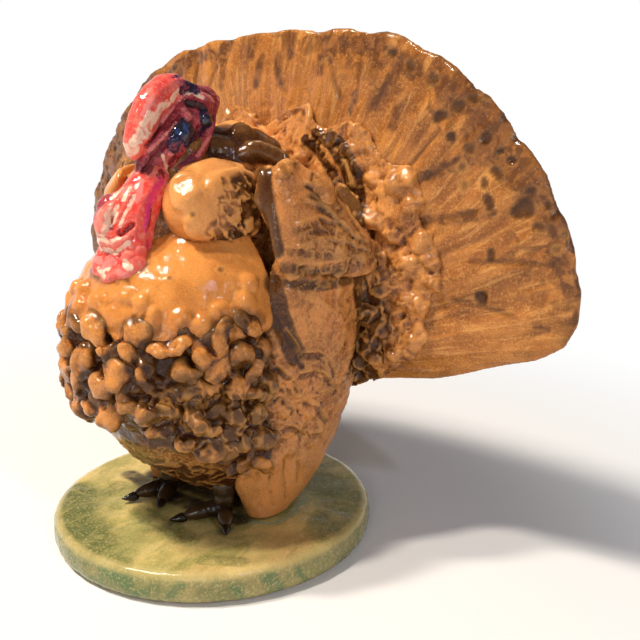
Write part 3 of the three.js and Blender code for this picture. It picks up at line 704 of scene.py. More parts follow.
def make_base():
    skin = Skin("base_slab", ["base_disc"], voxel=0.8, soften=3, fill=0)
    uneven = 0.5 + 0.5 * rough(skin.corners, 30, 11)
    dents = np.clip(rough(skin.corners, 7, 12, 2), 0, 1)
    skin.move(-0.55 * uneven - 0.25 * dents)
    radius = np.hypot(skin.corners[:, 0], skin.corners[:, 1])
    height = skin.corners[:, 2]
    rim = 1 - smooth(0.6, 2.6, np.hypot(radius - 58.2, height - (BASE_TOP - 1.4)))
    skin.paint("rim", rim * (0.75 + 0.25 * rough(skin.corners, 6, 13, 2)))
    skin.paint("side", 1 - smooth(BASE_TOP - 3.2, BASE_TOP - 0.8, height))
    skin.paint("bare", 1 - smooth(0.5, 1.4, height))
    glaze_layers(skin, 0.25, 0.6)
    surface = surface_of_skins([skin])
    for layer, table in (("green", GREEN_STROKES), ("teal", TEAL_STROKES), ("shade_round_feet", FEET_PAINTED_SHADE)):
        skin.strokes(table, layer, surface, both_sides=False)
    return skin


# Painted shade: dark brown on the base round the feet, under the belly
FEET_PAINTED_SHADE = [([(130, 474), (144, 482), (162, 490)], 11), ([(160, 492), (188, 502), (214, 512)], 15),
             ([(206, 508), (240, 520)], 13), ([(160, 474), (210, 490), (246, 500)], 19)]
TEAL_STROKES = [([(250, 522), (272, 524), (290, 516), (304, 500)], 3, 0.9)]
GREEN_STROKES = [
    ([(66, 496), (64, 520), (80, 545)], 40, 1.0), ([(90, 552), (120, 566)], 16, 0.65),
    ([(140, 512), (165, 525), (190, 540)], 14, 0.7), ([(205, 560), (240, 562)], 12, 0.6),
    ([(120, 485), (95, 500)], 12, 0.6), ([(320, 480), (345, 500), (330, 530)], 26, 0.7),
    ([(205, 596), (232, 594)], 12, 0.9), ([(340, 560), (352, 548)], 10, 0.9),
    ([(90, 575), (120, 590)], 9, 0.6),
]


# Body and mantle

def make_body():
    skin = Skin("body", ["body_shell"], voxel=0.8, soften=6)
    hand_pressed(skin, 0.7, 15, 21)
    height = skin.corners[:, 2]
    low = 1 - smooth(34, 44, height)
    ripples = noise(skin.corners * [1, 1, 0.45], 5.5, 22)
    skin.move(0.35 * ripples * (0.3 + 0.7 * low))
    under_tufts = smooth(42, 52, height) * (1 - smooth(84, 92, height))
    front = smooth(8, -2, skin.corners[:, 1])
    skin.paint("pool", 0.85 * under_tufts * front)
    # Painted shade: the lower body darker towards the base, under the belly
    skin.paint("pool", 0.35 * low)
    squiggled(skin, 0.4 + 0.6 * low, 5.0, 0.6, 23, 0.4, 0.3)
    glaze_layers(skin)
    return skin


KNOB_LUMPS = [(184, 190, 17, 22, 10), (240, 224, 22, 18, -10), (236, 186, 24, 20, 15),
              (208, 226, 24, 14, 0)]
KNOB_PLUMAGE = [
    ([(244, 186), (250, 206), (246, 226), (232, 238)], 20, 1.0),
    ([(236, 240), (214, 243), (194, 245)], 9, 1.0), ([(258, 180), (262, 210), (260, 240)], 12, 1.0),
    ([(226, 204), (226, 222), (214, 232)], 13, 0.75), ([(226, 182), (232, 196)], 9, 0.6),
]
HUMP_LUMPS = [(243, 133, 13, 12, 0), (270, 145, 12, 11, 20), (222, 146, 14, 11, -10),
              (252, 155, 11, 9, 10), (285, 150, 9, 9, 0), (262, 124, 10, 7, 15)]
# Painted shadow: the head's shadow on the hump and on the saddle beside it, laid on as dark pooled glaze
# and brown shade
HUMP_PAINTED_SHADOW = [([(200, 150), (225, 147), (250, 147), (276, 150)], 20),
               ([(214, 132), (240, 130), (262, 136), (284, 150)], 15)]


def blister(skin, pixel, size, surface):
    """A burst bubble in the glaze: a brown dent in a golden ring."""
    skin.stroke([pixel], size, 0.3, "lip", 0.35, surface)
    skin.stroke([pixel], 0.55 * size, -0.5, "dark", 0.6, surface)


def make_mantle():
    surface = surface_of_nodes("mantle")
    extra = lumps(surface, KNOB_LUMPS, 1.9, 1.1, 0.85) + lumps(surface, HUMP_LUMPS, 2.8, 1.1, 0.85)
    skin = Skin("mantle_cape", ["mantle"], pairs(extra), soften=12)
    surface = surface_of_skins([skin])
    skin.strokes(KNOB_PLUMAGE, "plumage", surface)
    for pixel, size in KNOB_BLISTERS:
        blister(skin, pixel, size, surface)
    thumbed_flat(skin, (186, 188), 19, surface, 0.72)
    # Painted shadow of the head on the hump
    skin.strokes(HUMP_PAINTED_SHADOW, "pool", surface)
    skin.strokes(HUMP_PAINTED_SHADOW, "shade", surface, strength=0.6)
    hump = 1 - smooth(-3, -12, skin.corners[:, 1])
    nearest, _ = pebbles(skin.corners * [1, 1, 0.8], 7.5, 41)
    skin.move(1.5 * hump * (0.55 - nearest))
    skin.move(0.5 * hump * rough(skin.corners * [0.6, 1, 1], 5, 42, 2))
    hand_pressed(skin, 0.35, 11, 43)
    squiggled(skin, skin.layer("plumage"), 3.2, 0.9, 45, 0.95, 0.6)
    glaze_layers(skin)
    return skin


# Breast: the cap with its tongues, and the tufts below it. Each lump has the pixel of its
# middle, its half width and half height in pixels and its turn in degrees.

CAP_TONGUES = [
    (75, 305, 9, 12, 10), (94, 300, 9, 9, -20), (110, 312, 9, 7, 15), (124, 297, 11, 9, 0),
    (140, 303, 9, 10, 20), (153, 322, 7, 15, -8), (181, 318, 11, 10, 35), (203, 322, 9, 11, -25),
    (221, 309, 10, 8, 20), (247, 300, 11, 9, -15), (250, 282, 9, 10, 10), (228, 330, 6, 9, 10),
]
TUFTS = [
    (68, 327, 8, 9, 30), (69, 345, 7, 8, 0), (97, 329, 11, 15, 38), (139, 335, 11, 10, 12),
    (161, 350, 12, 7, -12), (128, 355, 7, 11, 12), (142, 376, 9, 14, 8), (83, 362, 8, 17, 10),
    (101, 384, 15, 8, -8), (80, 384, 8, 9, 0), (201, 353, 8, 8, 0), (222, 335, 8, 11, -12),
    (218, 370, 11, 11, 35), (186, 375, 13, 7, 18), (239, 355, 8, 9, 10), (210, 388, 11, 6, -10),
    (238, 388, 12, 9, 15), (170, 410, 7, 10, 5), (145, 415, 13, 9, -12), (128, 402, 8, 8, 20),
    (161, 434, 14, 7, -5), (186, 439, 10, 7, 5), (194, 418, 12, 12, 5), (212, 428, 8, 8, 30),
    (242, 440, 11, 8, 0), (265, 440, 7, 9, 0), (271, 381, 6, 9, 5), (252, 368, 7, 9, -20),
    (233, 415, 9, 7, -15), (256, 410, 8, 8, 15), (92, 404, 9, 7, -20), (112, 418, 10, 7, -25),
    (250, 330, 8, 12, 10), (240, 318, 7, 8, 0), (180, 345, 10, 6, 25), (262, 348, 5, 10, 5),
    (256, 390, 7, 7, 0), (215, 408, 8, 6, 20), (222, 448, 10, 7, 0), (205, 452, 9, 6, 10),
    (246, 460, 9, 7, -10), (262, 462, 7, 8, 10), (108, 350, 6, 5, 0),
]
CAP_BLISTERS = [((170, 278), 6), ((221, 270), 7), ((196, 288), 3), ((150, 262), 3)]
KNOB_BLISTERS = [((193, 215), 7), ((182, 236), 4), ((206, 190), 3)]
# How far a tuft stands out and how deep its middle lies, in millimetres, how much larger it is
# than its table says, and the least distance of a loose tuft from the others
TUFT_RISE = 5.4
TUFT_SUNK = 1.4
TUFT_GROWTH = 1.15
TUFT_GAP = 8.0
# The heights between which tufts lie, and those that part their four rows
TUFT_BAND = (39, 87)
ROW_EDGES = [77.7, 65.0, 51.0]
# How many low lumps fill the ground between the tufts
LOW_LUMPS = 420
# The height over the body above which the tufts are pressed flatter
TUFT_LIMIT = 5.4
# Where the tufts end and the wing begins in the photograph
TUFT_EDGE_PIXEL = 262
# The line below which the belly is smooth: its height at the left border and its slope, in pixels
TUFT_FOOT_PIXEL = 378
TUFT_FOOT_SLOPE = 0.36
# Hollows between the tufts of the photograph: the pixel of the middle and the radius in pixels
TUFT_HOLLOWS = [(77, 332, 4), (122, 322, 11), (107, 357, 13), (165, 368, 13), (152, 366, 9),
                (176, 428, 9), (228, 402, 6), (190, 362, 8), (205, 404, 6), (118, 394, 7)]


def offset_surface(skin, distance):
    return surface_of([(skin.corners + skin.normals() * distance, skin.quads)])


def turned_to_camera(places, normals):
    """How squarely each place faces the photograph's camera, from -1 to 1."""
    back = CAMERA_PLACE - places
    return np.einsum("ij,ij->i", back, normals) / np.linalg.norm(back, axis=1)


def pixels_of(places):
    """Where the photograph shows each place."""
    away = places - CAMERA_PLACE
    ahead = away @ CAMERA_AHEAD
    return np.stack([PHOTO_SIDE / 2 + PHOTO_FOCAL * (away @ CAMERA_RIGHT) / ahead,
                     PHOTO_SIDE / 2 - PHOTO_FOCAL * (away @ CAMERA_UP) / ahead], axis=1)


def place_tufts(body):
    """Lumps for the four rows: those of the photograph, their mirror images, and loose ones."""
    surface = offset_surface(body, 3.8)
    draw = np.random.default_rng(7)
    rows = [[], [], [], []]
    taken = []

    def row_of(place):
        return sum(place[2] < edge for edge in ROW_EDGES)

    def keep(form, place):
        rows[row_of(place)].append(form)
        taken.append(place)

    for x, y, wide, high, turn in TUFTS:
        half = (wide * TUFT_GROWTH, high * TUFT_GROWTH)
        made = pressed_on(surface, (x, y), half, turn, TUFT_RISE * draw.uniform(0.85, 1.2),
                          TUFT_SUNK, draw.uniform(0.8, 1.1))
        if made:
            keep(made, seen_at((x, y), surface))
    shown = len(taken)
    for index, row in enumerate([list(row) for row in rows]):
        for form in row:
            place = form[0].mean(axis=0) * [-1, 1, 1]
            if np.min(np.linalg.norm(np.array(taken[:shown]) - place, axis=1)) > 9:
                rows[index].append(mirror(form))
                taken.append(place)

    normals = body.normals()
    side, ahead, height = body.corners.T
    outward = np.einsum("ij,ij->i", body.corners[:, :2], normals[:, :2]) > 0
    lowest, highest = TUFT_BAND
    free = outward & (height > lowest) & (height < highest) & (ahead < 4 - 0.3 * np.abs(side))
    raised = pixels_of(body.corners + 3 * normals)
    near_side = pixels_of(np.abs(body.corners) * [1, 0, 1] + body.corners * [0, 1, 0] + 2 * normals)
    free &= near_side[:, 0] < TUFT_EDGE_PIXEL
    free &= near_side[:, 1] < TUFT_FOOT_PIXEL + TUFT_FOOT_SLOPE * near_side[:, 0]
    facing = turned_to_camera(body.corners, normals) > 0.15
    for x, y, radius in TUFT_HOLLOWS:
        hollow = np.hypot(raised[:, 0] - x, raised[:, 1] - y) < radius + 7
        free &= ~(hollow & facing)
    for corner in draw.permutation(np.flatnonzero(free)):
        place = body.corners[corner] + 2 * normals[corner]
        if np.min(np.linalg.norm(np.array(taken) - place, axis=1)) > TUFT_GAP:
            keep(loose_lump(body.corners[corner], normals[corner], draw, 3.3, 5.6, (3.8, 5.4)), place)

    places = np.array(taken)
    for index, place in enumerate(places):
        away = np.linalg.norm(places - place, axis=1)
        for other in np.argsort(away)[1:4]:
            if other > index and away[other] < 12 and draw.uniform() < 0.6:
                ends = np.linspace(place, places[other], 5)
                inward = toward(np.array([0, -8, 64]) - ends.mean(axis=0))
                radii = draw.uniform(1.7, 2.8) * np.array([1.2, 1, 0.85, 1, 1.2])
                rows[row_of(place)].append(rope(ends + 1.8 * inward, radii))
    for corner in draw.permutation(np.flatnonzero(free))[:LOW_LUMPS]:
        place = body.corners[corner]
        low_lump = egg(place, (5.0, 5.0, 2.0), toward(draw.normal(size=3)), normals[corner])
        rows[row_of(place)].append(low_lump)
    return rows


def warped(skin, amount, size, seed):
    """Drags the corners about, which takes the roundness from pressed lumps."""
    drag = [rough(skin.corners, size, seed + axis, 2) for axis in range(3)]
    skin.corners = skin.corners + amount * np.stack(drag, axis=1)


def pinched(skin, amount, size, seed):
    """Hollow facets as fingertips leave them, with ridges where they meet."""
    bent = skin.corners + 0.25 * size * rough(skin.corners, 1.5 * size, seed + 3, 2)[:, None]
    nearest, _ = pebbles(bent, size, seed)
    skin.move(amount * (nearest - 0.45))


def squiggled(skin, mask, size, height, seed, lip, pool):
    """Thin wandering ridges in the glaze, light on their crests and dark between them."""
    drag = [rough(skin.corners, 1.4 * size, seed + 3 * axis, 2) for axis in range(3)]
    bent = skin.corners + 0.75 * size * np.stack(drag, axis=1)
    wave = noise(bent, size, seed) + 0.4 * noise(bent, 0.5 * size, seed + 1)
    ridge = np.clip(1 - 3.2 * np.abs(wave), 0, 1)
    skin.move(height * mask * (ridge - 0.3))
    skin.paint("lip", lip * mask * smooth(0.25, 0.8, ridge))
    skin.paint("pool", skin.layer("pool") + pool * mask * (1 - ridge))


def pressed_flatter(skin, ground, limit, share=0.55):
    """Presses down what stands higher over the ground than the limit."""
    tree = tree_of(ground.corners)
    below = np.array([tree.find(corner)[0] for corner in skin.corners])
    away = skin.corners - below
    height = np.maximum(np.linalg.norm(away, axis=1), 1e-6)
    lowered = np.where(height > limit, limit + share * (height - limit), height)
    skin.corners = below + away * (lowered / height)[:, None]
    return lowered


def glaze_by_height(skin, height, low=2.2, high=6.4, streaks=0.16):
    """Glaze runs off what stands high over the ground and collects round its foot."""
    streaky = streaks * (rough(skin.corners, 5, 47, 2) + noise(skin.corners, 15, 49))
    skin.paint("pool", 0.95 * (1 - smooth(low, high, height)) + streaky)
    skin.paint("crest", 0.5 * smooth(high - 0.8, high + 0.6, height))


def make_breast(body):
    tongues = lumps(offset_surface(body, 4.2), CAP_TONGUES, 3.4, 2.2, 0.7)
    cap = Skin("cap", ["breast_cap"], pairs(tongues), voxel=0.6, soften=7)
    hand_pressed(cap, 0.35, 10, 51)
    cap.move(0.16 * noise(cap.corners, 3.2, 52))
    glaze_by_height(cap, distance_to(body.corners, cap.corners, 8), 0.6, 3.2)
    own = surface_of_skins([cap])
    for pixel, size in CAP_BLISTERS:
        blister(cap, pixel, size, own)
    skins = [cap]
    for row, forms in enumerate(place_tufts(body)):
        skin = Skin(f"tufts_{row + 1}", [f"breast_tufts_row_{row + 1}"], forms, voxel=0.55,
                    soften=4, keep_nodes=False)
        warped(skin, 2.8, 6.5, 53)
        warped(skin, 0.9, 3.0, 55)
        pinched(skin, 2.2, 5.0, 57)
        hand_pressed(skin, 0.5, 3.2, 59)
        skin.soften(3)
        glaze_by_height(skin, pressed_flatter(skin, body, TUFT_LIMIT), streaks=0.3)
        # Painted shade: the tufts darker towards the sides and lower down, and on their undersides, where
        # glaze also collects
        side, _, height = skin.corners.T
        painted_shade_side = smooth(12, 32, np.abs(side)) * smooth(80, 62, height)
        underside_pool_and_shade = smooth(0.25, -0.75, skin.normals()[:, 2])
        skin.paint("pool", skin.layer("pool") + 0.05 * painted_shade_side + 0.4 * underside_pool_and_shade)
        for _ in range(8):
            skin.layers["pool"] = skin.around(skin.layers["pool"])
        squiggled(skin, painted_shade_side * smooth(40, 50, height), 4.4, 0.5, 61, 0.55, 0.35)
        skins.append(skin)
    for skin in skins:
        glaze_layers(skin, 0.8, 2.2)
    return skins


# Wings, shoulder flaps and saddle tufts. The leaves of the left wing and of the flap over it are
# given by their root, their tip and the direction that they face.

WING_LEAF = ((43, -8, 110), (27, 4, 14), (1, -0.35, 0))
FLAP_LEAF = ((37, -6, 118), (57, 28, 102), (1, -0.5, 0))
WING_CHANNEL = [(273, 284), (277, 305), (284, 330), (296, 356)]
LEAF_LOBES = [(288, 224, 20, 60, 4), (320, 256, 44, 20, -8), (345, 250, 34, 16, -8),
              (300, 202, 28, 44, 10)]
FRONT_FOLDS = [(275, 345, 8, 16, 0), (272, 380, 8, 11, 0), (287, 372, 9, 9, 20),
               (300, 392, 11, 8, -15), (283, 408, 10, 9, 0), (276, 432, 9, 12, 5),
               (295, 425, 11, 8, 15), (272, 462, 8, 12, 0), (312, 410, 10, 7, 0), (288, 450, 9, 9, 0)]
FLAP_LINES = [
    [(300, 246), (322, 238), (346, 240), (370, 250)], [(298, 224), (320, 216), (342, 222), (360, 238)],
    [(300, 264), (326, 262), (352, 257), (372, 256)], [(308, 200), (328, 208), (344, 224)],
    [(306, 182), (322, 192), (338, 206)],
]
# Shade painted on the flap, with the brown glaze that pools there: over its lower side and in the gap
# along its left edge
FLAP_PAINTED_SHADE = [
    ([(318, 238), (342, 246), (364, 254)], 18, 0.35), ([(284, 268), (320, 272), (352, 269)], 6, 0.6),
    ([(334, 204), (352, 226), (366, 246)], 7, 0.4),
    ([(263, 170), (265, 192), (268, 212), (272, 232), (276, 250)], 8, 1.0),
    ([(312, 196), (332, 214), (350, 236)], 4, 0.5), ([(296, 232), (324, 230), (350, 240)], 4, 0.45),
    ([(290, 252), (322, 256), (356, 258)], 4, 0.5),
]
WING_TIP_FOLDS = [
    [(259, 474), (256, 490), (260, 508)], [(273, 462), (270, 482), (274, 505)],
    [(288, 450), (284, 472), (286, 498)], [(302, 436), (298, 458), (298, 482)],
]
WING_ARCS = [
    [(265, 368), (278, 366), (290, 374), (299, 386)], [(300, 372), (314, 368), (328, 374), (334, 388)],
    [(290, 402), (304, 398), (318, 404), (326, 418)], [(305, 352), (318, 350), (330, 358), (336, 372)],
    [(268, 398), (280, 394), (291, 402), (296, 416)], [(278, 428), (292, 424), (304, 432), (310, 446)],
    [(310, 432), (320, 430), (326, 440)], [(286, 330), (297, 345), (302, 362)],
]


def near_surface(skin, side):
    """The skin's surface on the side that the photograph shows."""
    return surface_of([(skin.corners * [side, 1, 1], skin.quads[:, ::side])])


def make_flank(side, name):
    folds = lumps(surface_of_nodes("left_wing"), FRONT_FOLDS, 2.8, 1.2, 0.75)
    wing = Skin(f"{name}_wing_feathers", [f"{name}_wing"], on_side(folds, side), soften=7)
    hand_pressed(wing, 0.45, 12, 61)
    surface = near_surface(wing, side)
    for path in WING_ARCS:
        wing.stroke(path, 3.0, 0.5, "lip", 0.4, surface)
        wing.stroke([(x, y + 5) for x, y in path], 5.0, -0.4, "pool", 0.25, surface)
    for path in WING_TIP_FOLDS:
        wing.stroke(path, 4.0, -0.5, "pool", 0.2, surface)
    wing.stroke(WING_CHANNEL, 13, -0.9, "channel", 1.0, surface)
    across, along = leaf_coordinates(wing, side, *WING_LEAF)
    lower = smooth(24, 46, along) * (1 - smooth(62, 84, along))
    feathered(wing, across, along, 9.5, 10.5, 1.0, 0.15 + 0.6 * lower, 0.4)
    folded = np.abs(noise(wing.corners, 7, 65))
    wing.move(0.5 * (0.35 - folded) * (1 - smooth(60, 80, along)))
    painted_channel_shade = wing.layer("channel")
    squiggled(wing, (1 - smooth(66, 88, along)) * (1 - painted_channel_shade), 3.4, 0.4, 69, 0.5, 0.22)
    # Painted shade and pooled glaze in the channel along the wing's front edge
    wing.paint("shade", smooth(0.0, 0.6, painted_channel_shade))
    wing.paint("pool", (0.25 + 0.14 * rough(wing.corners, 5, 68, 2)) * painted_channel_shade)
    wing.paint("speckle", smooth(52, 80, along))
    wing.paint("crest", 0.7 * smooth(56, 84, along))
    wing.paint("pool", 0.3 * (1 - smooth(50, 80, along)) * (0.7 + 0.3 * rough(wing.corners, 8, 66, 2)))
    surface = surface_of_nodes("left_shoulder_flap", "left_wing", "mantle")
    leaf = on_side(lumps(surface, LEAF_LOBES, 2.0, 1.2, 1.0), side)
    flap = Skin(f"{name}_shoulder_leaf", [f"{name}_shoulder_flap"], leaf, voxel=0.6, soften=34)
    across, along = leaf_coordinates(flap, side, *FLAP_LEAF)
    hand_pressed(flap, 0.35, 9, 62)
    waves = np.sin(along * 0.55 + 2.2 * rough(flap.corners, 12, 63, 2) + across * 0.16)
    flap.move(0.18 * waves * smooth(8, 18, along))
    flap.paint("speckle", smooth(9, 22, along))
    flap.paint("lip", smooth(0.75, 1, waves) * smooth(10, 20, along) * 0.4)
    own = near_surface(flap, side)
    for path in FLAP_LINES:
        flap.stroke(path, 3.0, 0.45, "lip", 0.35, own)
        flap.stroke([(x + 1, y + 5) for x, y in path], 4.5, -0.35, "pool", 0.2, own)
    # Painted shade and pooled glaze on the flap's lower side and left edge
    flap.strokes(FLAP_PAINTED_SHADE, "shade", own, widen=1.4)
    flap.strokes(FLAP_PAINTED_SHADE, "pool", own, widen=1.2, strength=0.6)
    squiggled(flap, smooth(4, 14, along), 4.2, 0.45, 67, 0.55, 0.12)
    saddle = Skin(f"{name}_saddle_flaps", [f"{name}_saddle_tufts"], saddle_lobes(side), voxel=0.5,
                  soften=5)
    hand_pressed(saddle, 0.35, 6, 64)
    # Painted shadow of the head, carried onto the saddle beside the hump
    saddle.strokes(HUMP_PAINTED_SHADOW, "pool", near_surface(saddle, side), strength=0.9)
    skins = [wing, flap, saddle]
    for skin in skins:
        glaze_layers(skin)
    return skins


SADDLE_LOBES = [(300, 148, 10, 13, 5), (285, 170, 9, 13, -25), (322, 184, 13, 10, 10),
                (326, 197, 8, 9, 0), (296, 162, 8, 9, 30), (312, 130, 10, 7, 0)]
SADDLE_FLAPS = [
    ([(306, 140), (318, 150), (330, 168), (336, 182)], 6),
    ([(316, 134), (332, 146), (344, 164), (350, 184)], 6.5),
    ([(330, 134), (344, 148), (354, 168), (358, 192)], 6),
    ([(346, 150), (356, 170), (362, 195), (360, 212)], 5.5),
    ([(340, 190), (352, 205), (362, 222)], 5.5),
]


def saddle_lobes(side):
    """The rounded ends of clay beside the hump and the long flaps behind them."""
    surface = surface_of_nodes("left_saddle_tufts", "mantle", "left_tail_coverts_inner",
                               "left_shoulder_flap")
    forms = lumps(surface, SADDLE_LOBES, 3.4, 1.2, 0.85)
    for pixels, width in SADDLE_FLAPS:
        forms += pressed_rope(surface, pixels, width, 0.6, 0.0)
    return on_side(forms, side)


def shade_saddle(skins):
    """The long dark flaps with light edges that fan out behind the hump."""
    surface = surface_of_skins(skins)
    for skin in skins:
        for pixels, width in SADDLE_FLAPS:
            edge = [(x - 0.9 * width, y + 0.5 * width) for x, y in pixels]
            skin.stroke(pixels, 1.2 * width, 0.4, "pool", 0.95, surface)
            skin.stroke(edge, 2.0, 0.5, "lip", 1.0, surface)


# Tail

def ribbed(skin, ribs, amount, seed):
    """Shallow wavering grooves that spread from the fan's root."""
    turn, reach = polar(skin.corners)
    bend = 0.05 * rough(skin.corners, 40, seed, 2)
    spread = np.stack([(turn + bend) * ribs, reach / 34, skin.corners[:, 1] / 20], axis=1)
    coarse = noise(spread, 1.0, seed)
    fine = noise(spread * [2.6, 1.4, 1], 1.0, seed + 1)
    flat = np.abs(skin.normals()[:, 1]) ** 1.5
    skin.move(amount * (0.65 * coarse + 0.35 * fine) * smooth(8, 40, reach) * flat)


COVERT_BLOBS = [(347, 150, 9), (375, 220, 11), (395, 185, 13), (412, 202, 12), (425, 237, 12),
                (430, 262, 11), (430, 282, 9), (425, 310, 10), (415, 340, 9), (395, 352, 9),
                (365, 310, 9), (380, 330, 10), (372, 355, 10), (398, 325, 8), (385, 292, 9),
                (372, 180, 10), (360, 165, 8), (403, 262, 13), (392, 235, 9), (408, 300, 10)]
# Seams with painted shade over pooled brown glaze: their pixels and half widths in pixels
SEAMS = [([(258, 172), (261, 200), (265, 232), (269, 260), (273, 284)], 8),
         ([(276, 281), (300, 285), (330, 285), (356, 278)], 4.5),
         ([(357, 282), (362, 310), (358, 340), (350, 372)], 6)]


def shade_seams(skins):
    """Painted shade in the seams round the wing, with the brown glaze that pools in them."""
    surface = surface_of_skins(skins)
    for skin in skins:
        # Painted shade in the seams
        skin.strokes(SEAMS, "shade", surface, lift=-0.3, widen=1.5)


def make_tail():
    fan = Skin("fan_slab", ["tail_fan"], voxel=0.95, soften=7, fill=0)
    ribbed(fan, 26, 0.85, 71)
    hand_pressed(fan, 0.5, 16, 72)
    rim = smooth(0.86, 0.97, polar(fan.corners)[1] / FAN_RIM)
    fan.move(0.5 * rim * rough(fan.corners, 9, 73, 2))
    turn, reach = polar(fan.corners)
    fan.paint("turn", 0.5 + turn / (2 * math.pi))
    fan.paint("reach", reach / FAN_REACH)
    front = surface_of_nodes("tail_fan")
    draw = np.random.default_rng(29)
    for x, y, size in FAN_SPOTS:
        blotch = [(x, y) + draw.uniform(-0.7, 0.7, 2) * size for _ in range(3)]
        fan.stroke(blotch, size * draw.uniform(1.3, 1.7), 0.3, "lip", 0.2, front)
        fan.stroke(blotch, size * draw.uniform(0.95, 1.3), -0.8, "dark", draw.uniform(0.75, 1.0), front)
    for x, y, size in FAN_RINGS:
        fan.stroke([(x, y)], size * 1.6, 0.35, "lip", 0.4, front)
        fan.stroke([(x, y)], size, -0.6, "dark", 0.55, front)
    for path in FAN_GROOVES:
        fan.stroke(path, 3.5, -0.55, "dark", 0.35, front)
    fan.strokes(FAN_MOTTLES, "mottle", front)
    # Painted shade along the fan's left edge
    fan.stroke(FAN_LEFT_EDGE_SHADE, 16, 0, "mottle", 1.0, front, False)
    for pixel, reach in FAN_GLINTS:
        thumbed_flat(fan, pixel, reach, front, 0.8)
    loose_spots(fan)
    skins = [fan]

    surface = surface_of_nodes("tail_coverts_outer", "left_tail_coverts_inner", "tail_fan")
    table = [(x, y, size, size * 0.8, (x * 7) % 60 - 30) for x, y, size in COVERT_BLOBS]
    blobs = pairs(lumps(surface, table, 3.6, 1.6, 0.85))
    outer = Skin("covert_tier_outer", ["tail_coverts_outer"], blobs)
    outer.joint_pool = fan.joint_pool = 0.25
    left = Skin("left_covert_tier", ["left_tail_coverts_inner"])
    right = Skin("right_covert_tier", ["right_tail_coverts_inner"])
    for skin in (outer, left, right):
        ribbed(skin, 15, 0.8, 74)
        nearest, second = pebbles(skin.corners + 2 * rough(skin.corners, 7, 78)[:, None], 8.0, 75)
        skin.move(1.1 * (0.5 - nearest) + 0.3 * smooth(0.0, 0.4, second - nearest) - 0.2)
        warped(skin, 1.6, 7.0, 83)
        skin.move(0.7 * (0.3 - np.abs(noise(skin.corners, 5.2, 79))))
        hand_pressed(skin, 0.3, 5, 76)
        low = smooth(118, 92, skin.corners[:, 2]) * smooth(75, 48, np.abs(skin.corners[:, 0]))
        skin.paint("pool", 0.45 * low * (0.75 + 0.25 * rough(skin.corners, 9, 80, 2)))
        squiggled(skin, 0.55 + 0.45 * low, 4.4, 0.9, 87, 0.55, 0.4)
        skins.append(skin)
    rear = Skin("covert_tier_rear", ["tail_coverts_rear"])
    root = Skin("tail_plug", ["tail_root"])
    for skin in (rear, root):
        turn, reach = polar(skin.corners)
        feathered(skin, turn * 38, reach, 10, 12, 1.3, 1.0, 0.5)
        hand_pressed(skin, 0.3, 8, 77)
        skins.append(skin)
    for skin in skins:
        glaze_layers(skin, 0.8, 2.4)
    return skins


FAN_SPOTS = [
    (435, 81, 6), (459, 104, 6), (440, 116, 5), (451, 137, 5), (489, 137, 6), (469, 150, 5),
    (495, 172, 6), (486, 182, 5), (489, 202, 6), (512, 161, 5), (532, 191, 6), (522, 207, 8),
    (540, 226, 6), (557, 216, 5), (490, 256, 5), (481, 299, 7), (475, 100, 5), (505, 118, 6),
    (520, 140, 6), (500, 150, 4), (410, 66, 5), (392, 52, 4), (548, 205, 4), (478, 84, 5),
]
# Painted shade down the fan's left edge, laid on as darker mottle
FAN_LEFT_EDGE_SHADE = [(150, 84), (128, 120), (114, 160), (102, 210), (98, 250)]
FAN_MOTTLES = [
    ([(468, 92), (496, 108), (520, 140)], 26), ([(478, 138), (505, 160), (532, 188)], 22),
    ([(404, 56), (390, 82), (374, 106)], 7), ([(536, 196), (560, 228)], 16),
    ([(322, 48), (320, 72)], 6), ([(292, 36), (290, 54)], 7), ([(398, 110), (392, 126)], 8),
    ([(355, 94), (350, 112)], 6), ([(228, 44), (216, 62)], 9), ([(192, 56), (182, 72)], 9),
    ([(262, 58), (256, 84)], 6), ([(384, 50), (416, 72)], 11), ([(440, 76), (452, 110)], 12),
    ([(556, 250), (572, 290)], 12), ([(340, 44), (380, 44)], 9),
    ([(418, 180), (450, 166), (480, 156)], 8), ([(420, 222), (456, 218), (492, 212)], 7),
]
FAN_GLINTS = [((245, 108), 7), ((265, 108), 6), ((285, 94), 6), ((307, 94), 6), ((424, 182), 6),
              ((418, 213), 7), ((429, 205), 6), ((549, 256), 7), ((571, 296), 6)]
FAN_RINGS = [(462, 167, 6), (464, 185, 6), (565, 234, 5), (557, 250, 5), (487, 95, 5)]
FAN_GROOVES = [
    [(415, 185), (435, 173), (457, 160)], [(417, 224), (445, 218), (475, 212)],
    [(400, 60), (388, 82), (375, 105)], [(470, 262), (510, 262), (552, 266)],
    [(452, 300), (500, 312), (548, 330)], [(440, 130), (425, 148), (408, 168)],
    [(330, 60), (334, 80), (340, 100)], [(360, 52), (358, 75), (357, 100)],
]


def loose_spots(fan):
    """Spots of the same kind on the back of the fan and where the photograph doesn't show it."""
    draw = np.random.default_rng(19)
    for _ in range(46):
        turn, reach = draw.uniform(-1.3, 1.3), draw.uniform(88, 124)
        behind = draw.uniform() < 0.7
        place = np.array([math.sin(turn) * reach, FAN_BACK if behind else FAN_FRONT,
                          FAN_ROOT[2] + math.cos(turn) * reach])
        if not behind and turn > -0.2:
            continue
        away = fan.near(place[None], both_sides=False) / draw.uniform(2.4, 3.6)
        fan.move(-0.4 * np.clip(1 - away ** 2, 0, 1) ** 1.5)
        fan.paint("dark", 0.7 * (1 - smooth(0.5, 1.05, away)))


# Legs, toes and claws

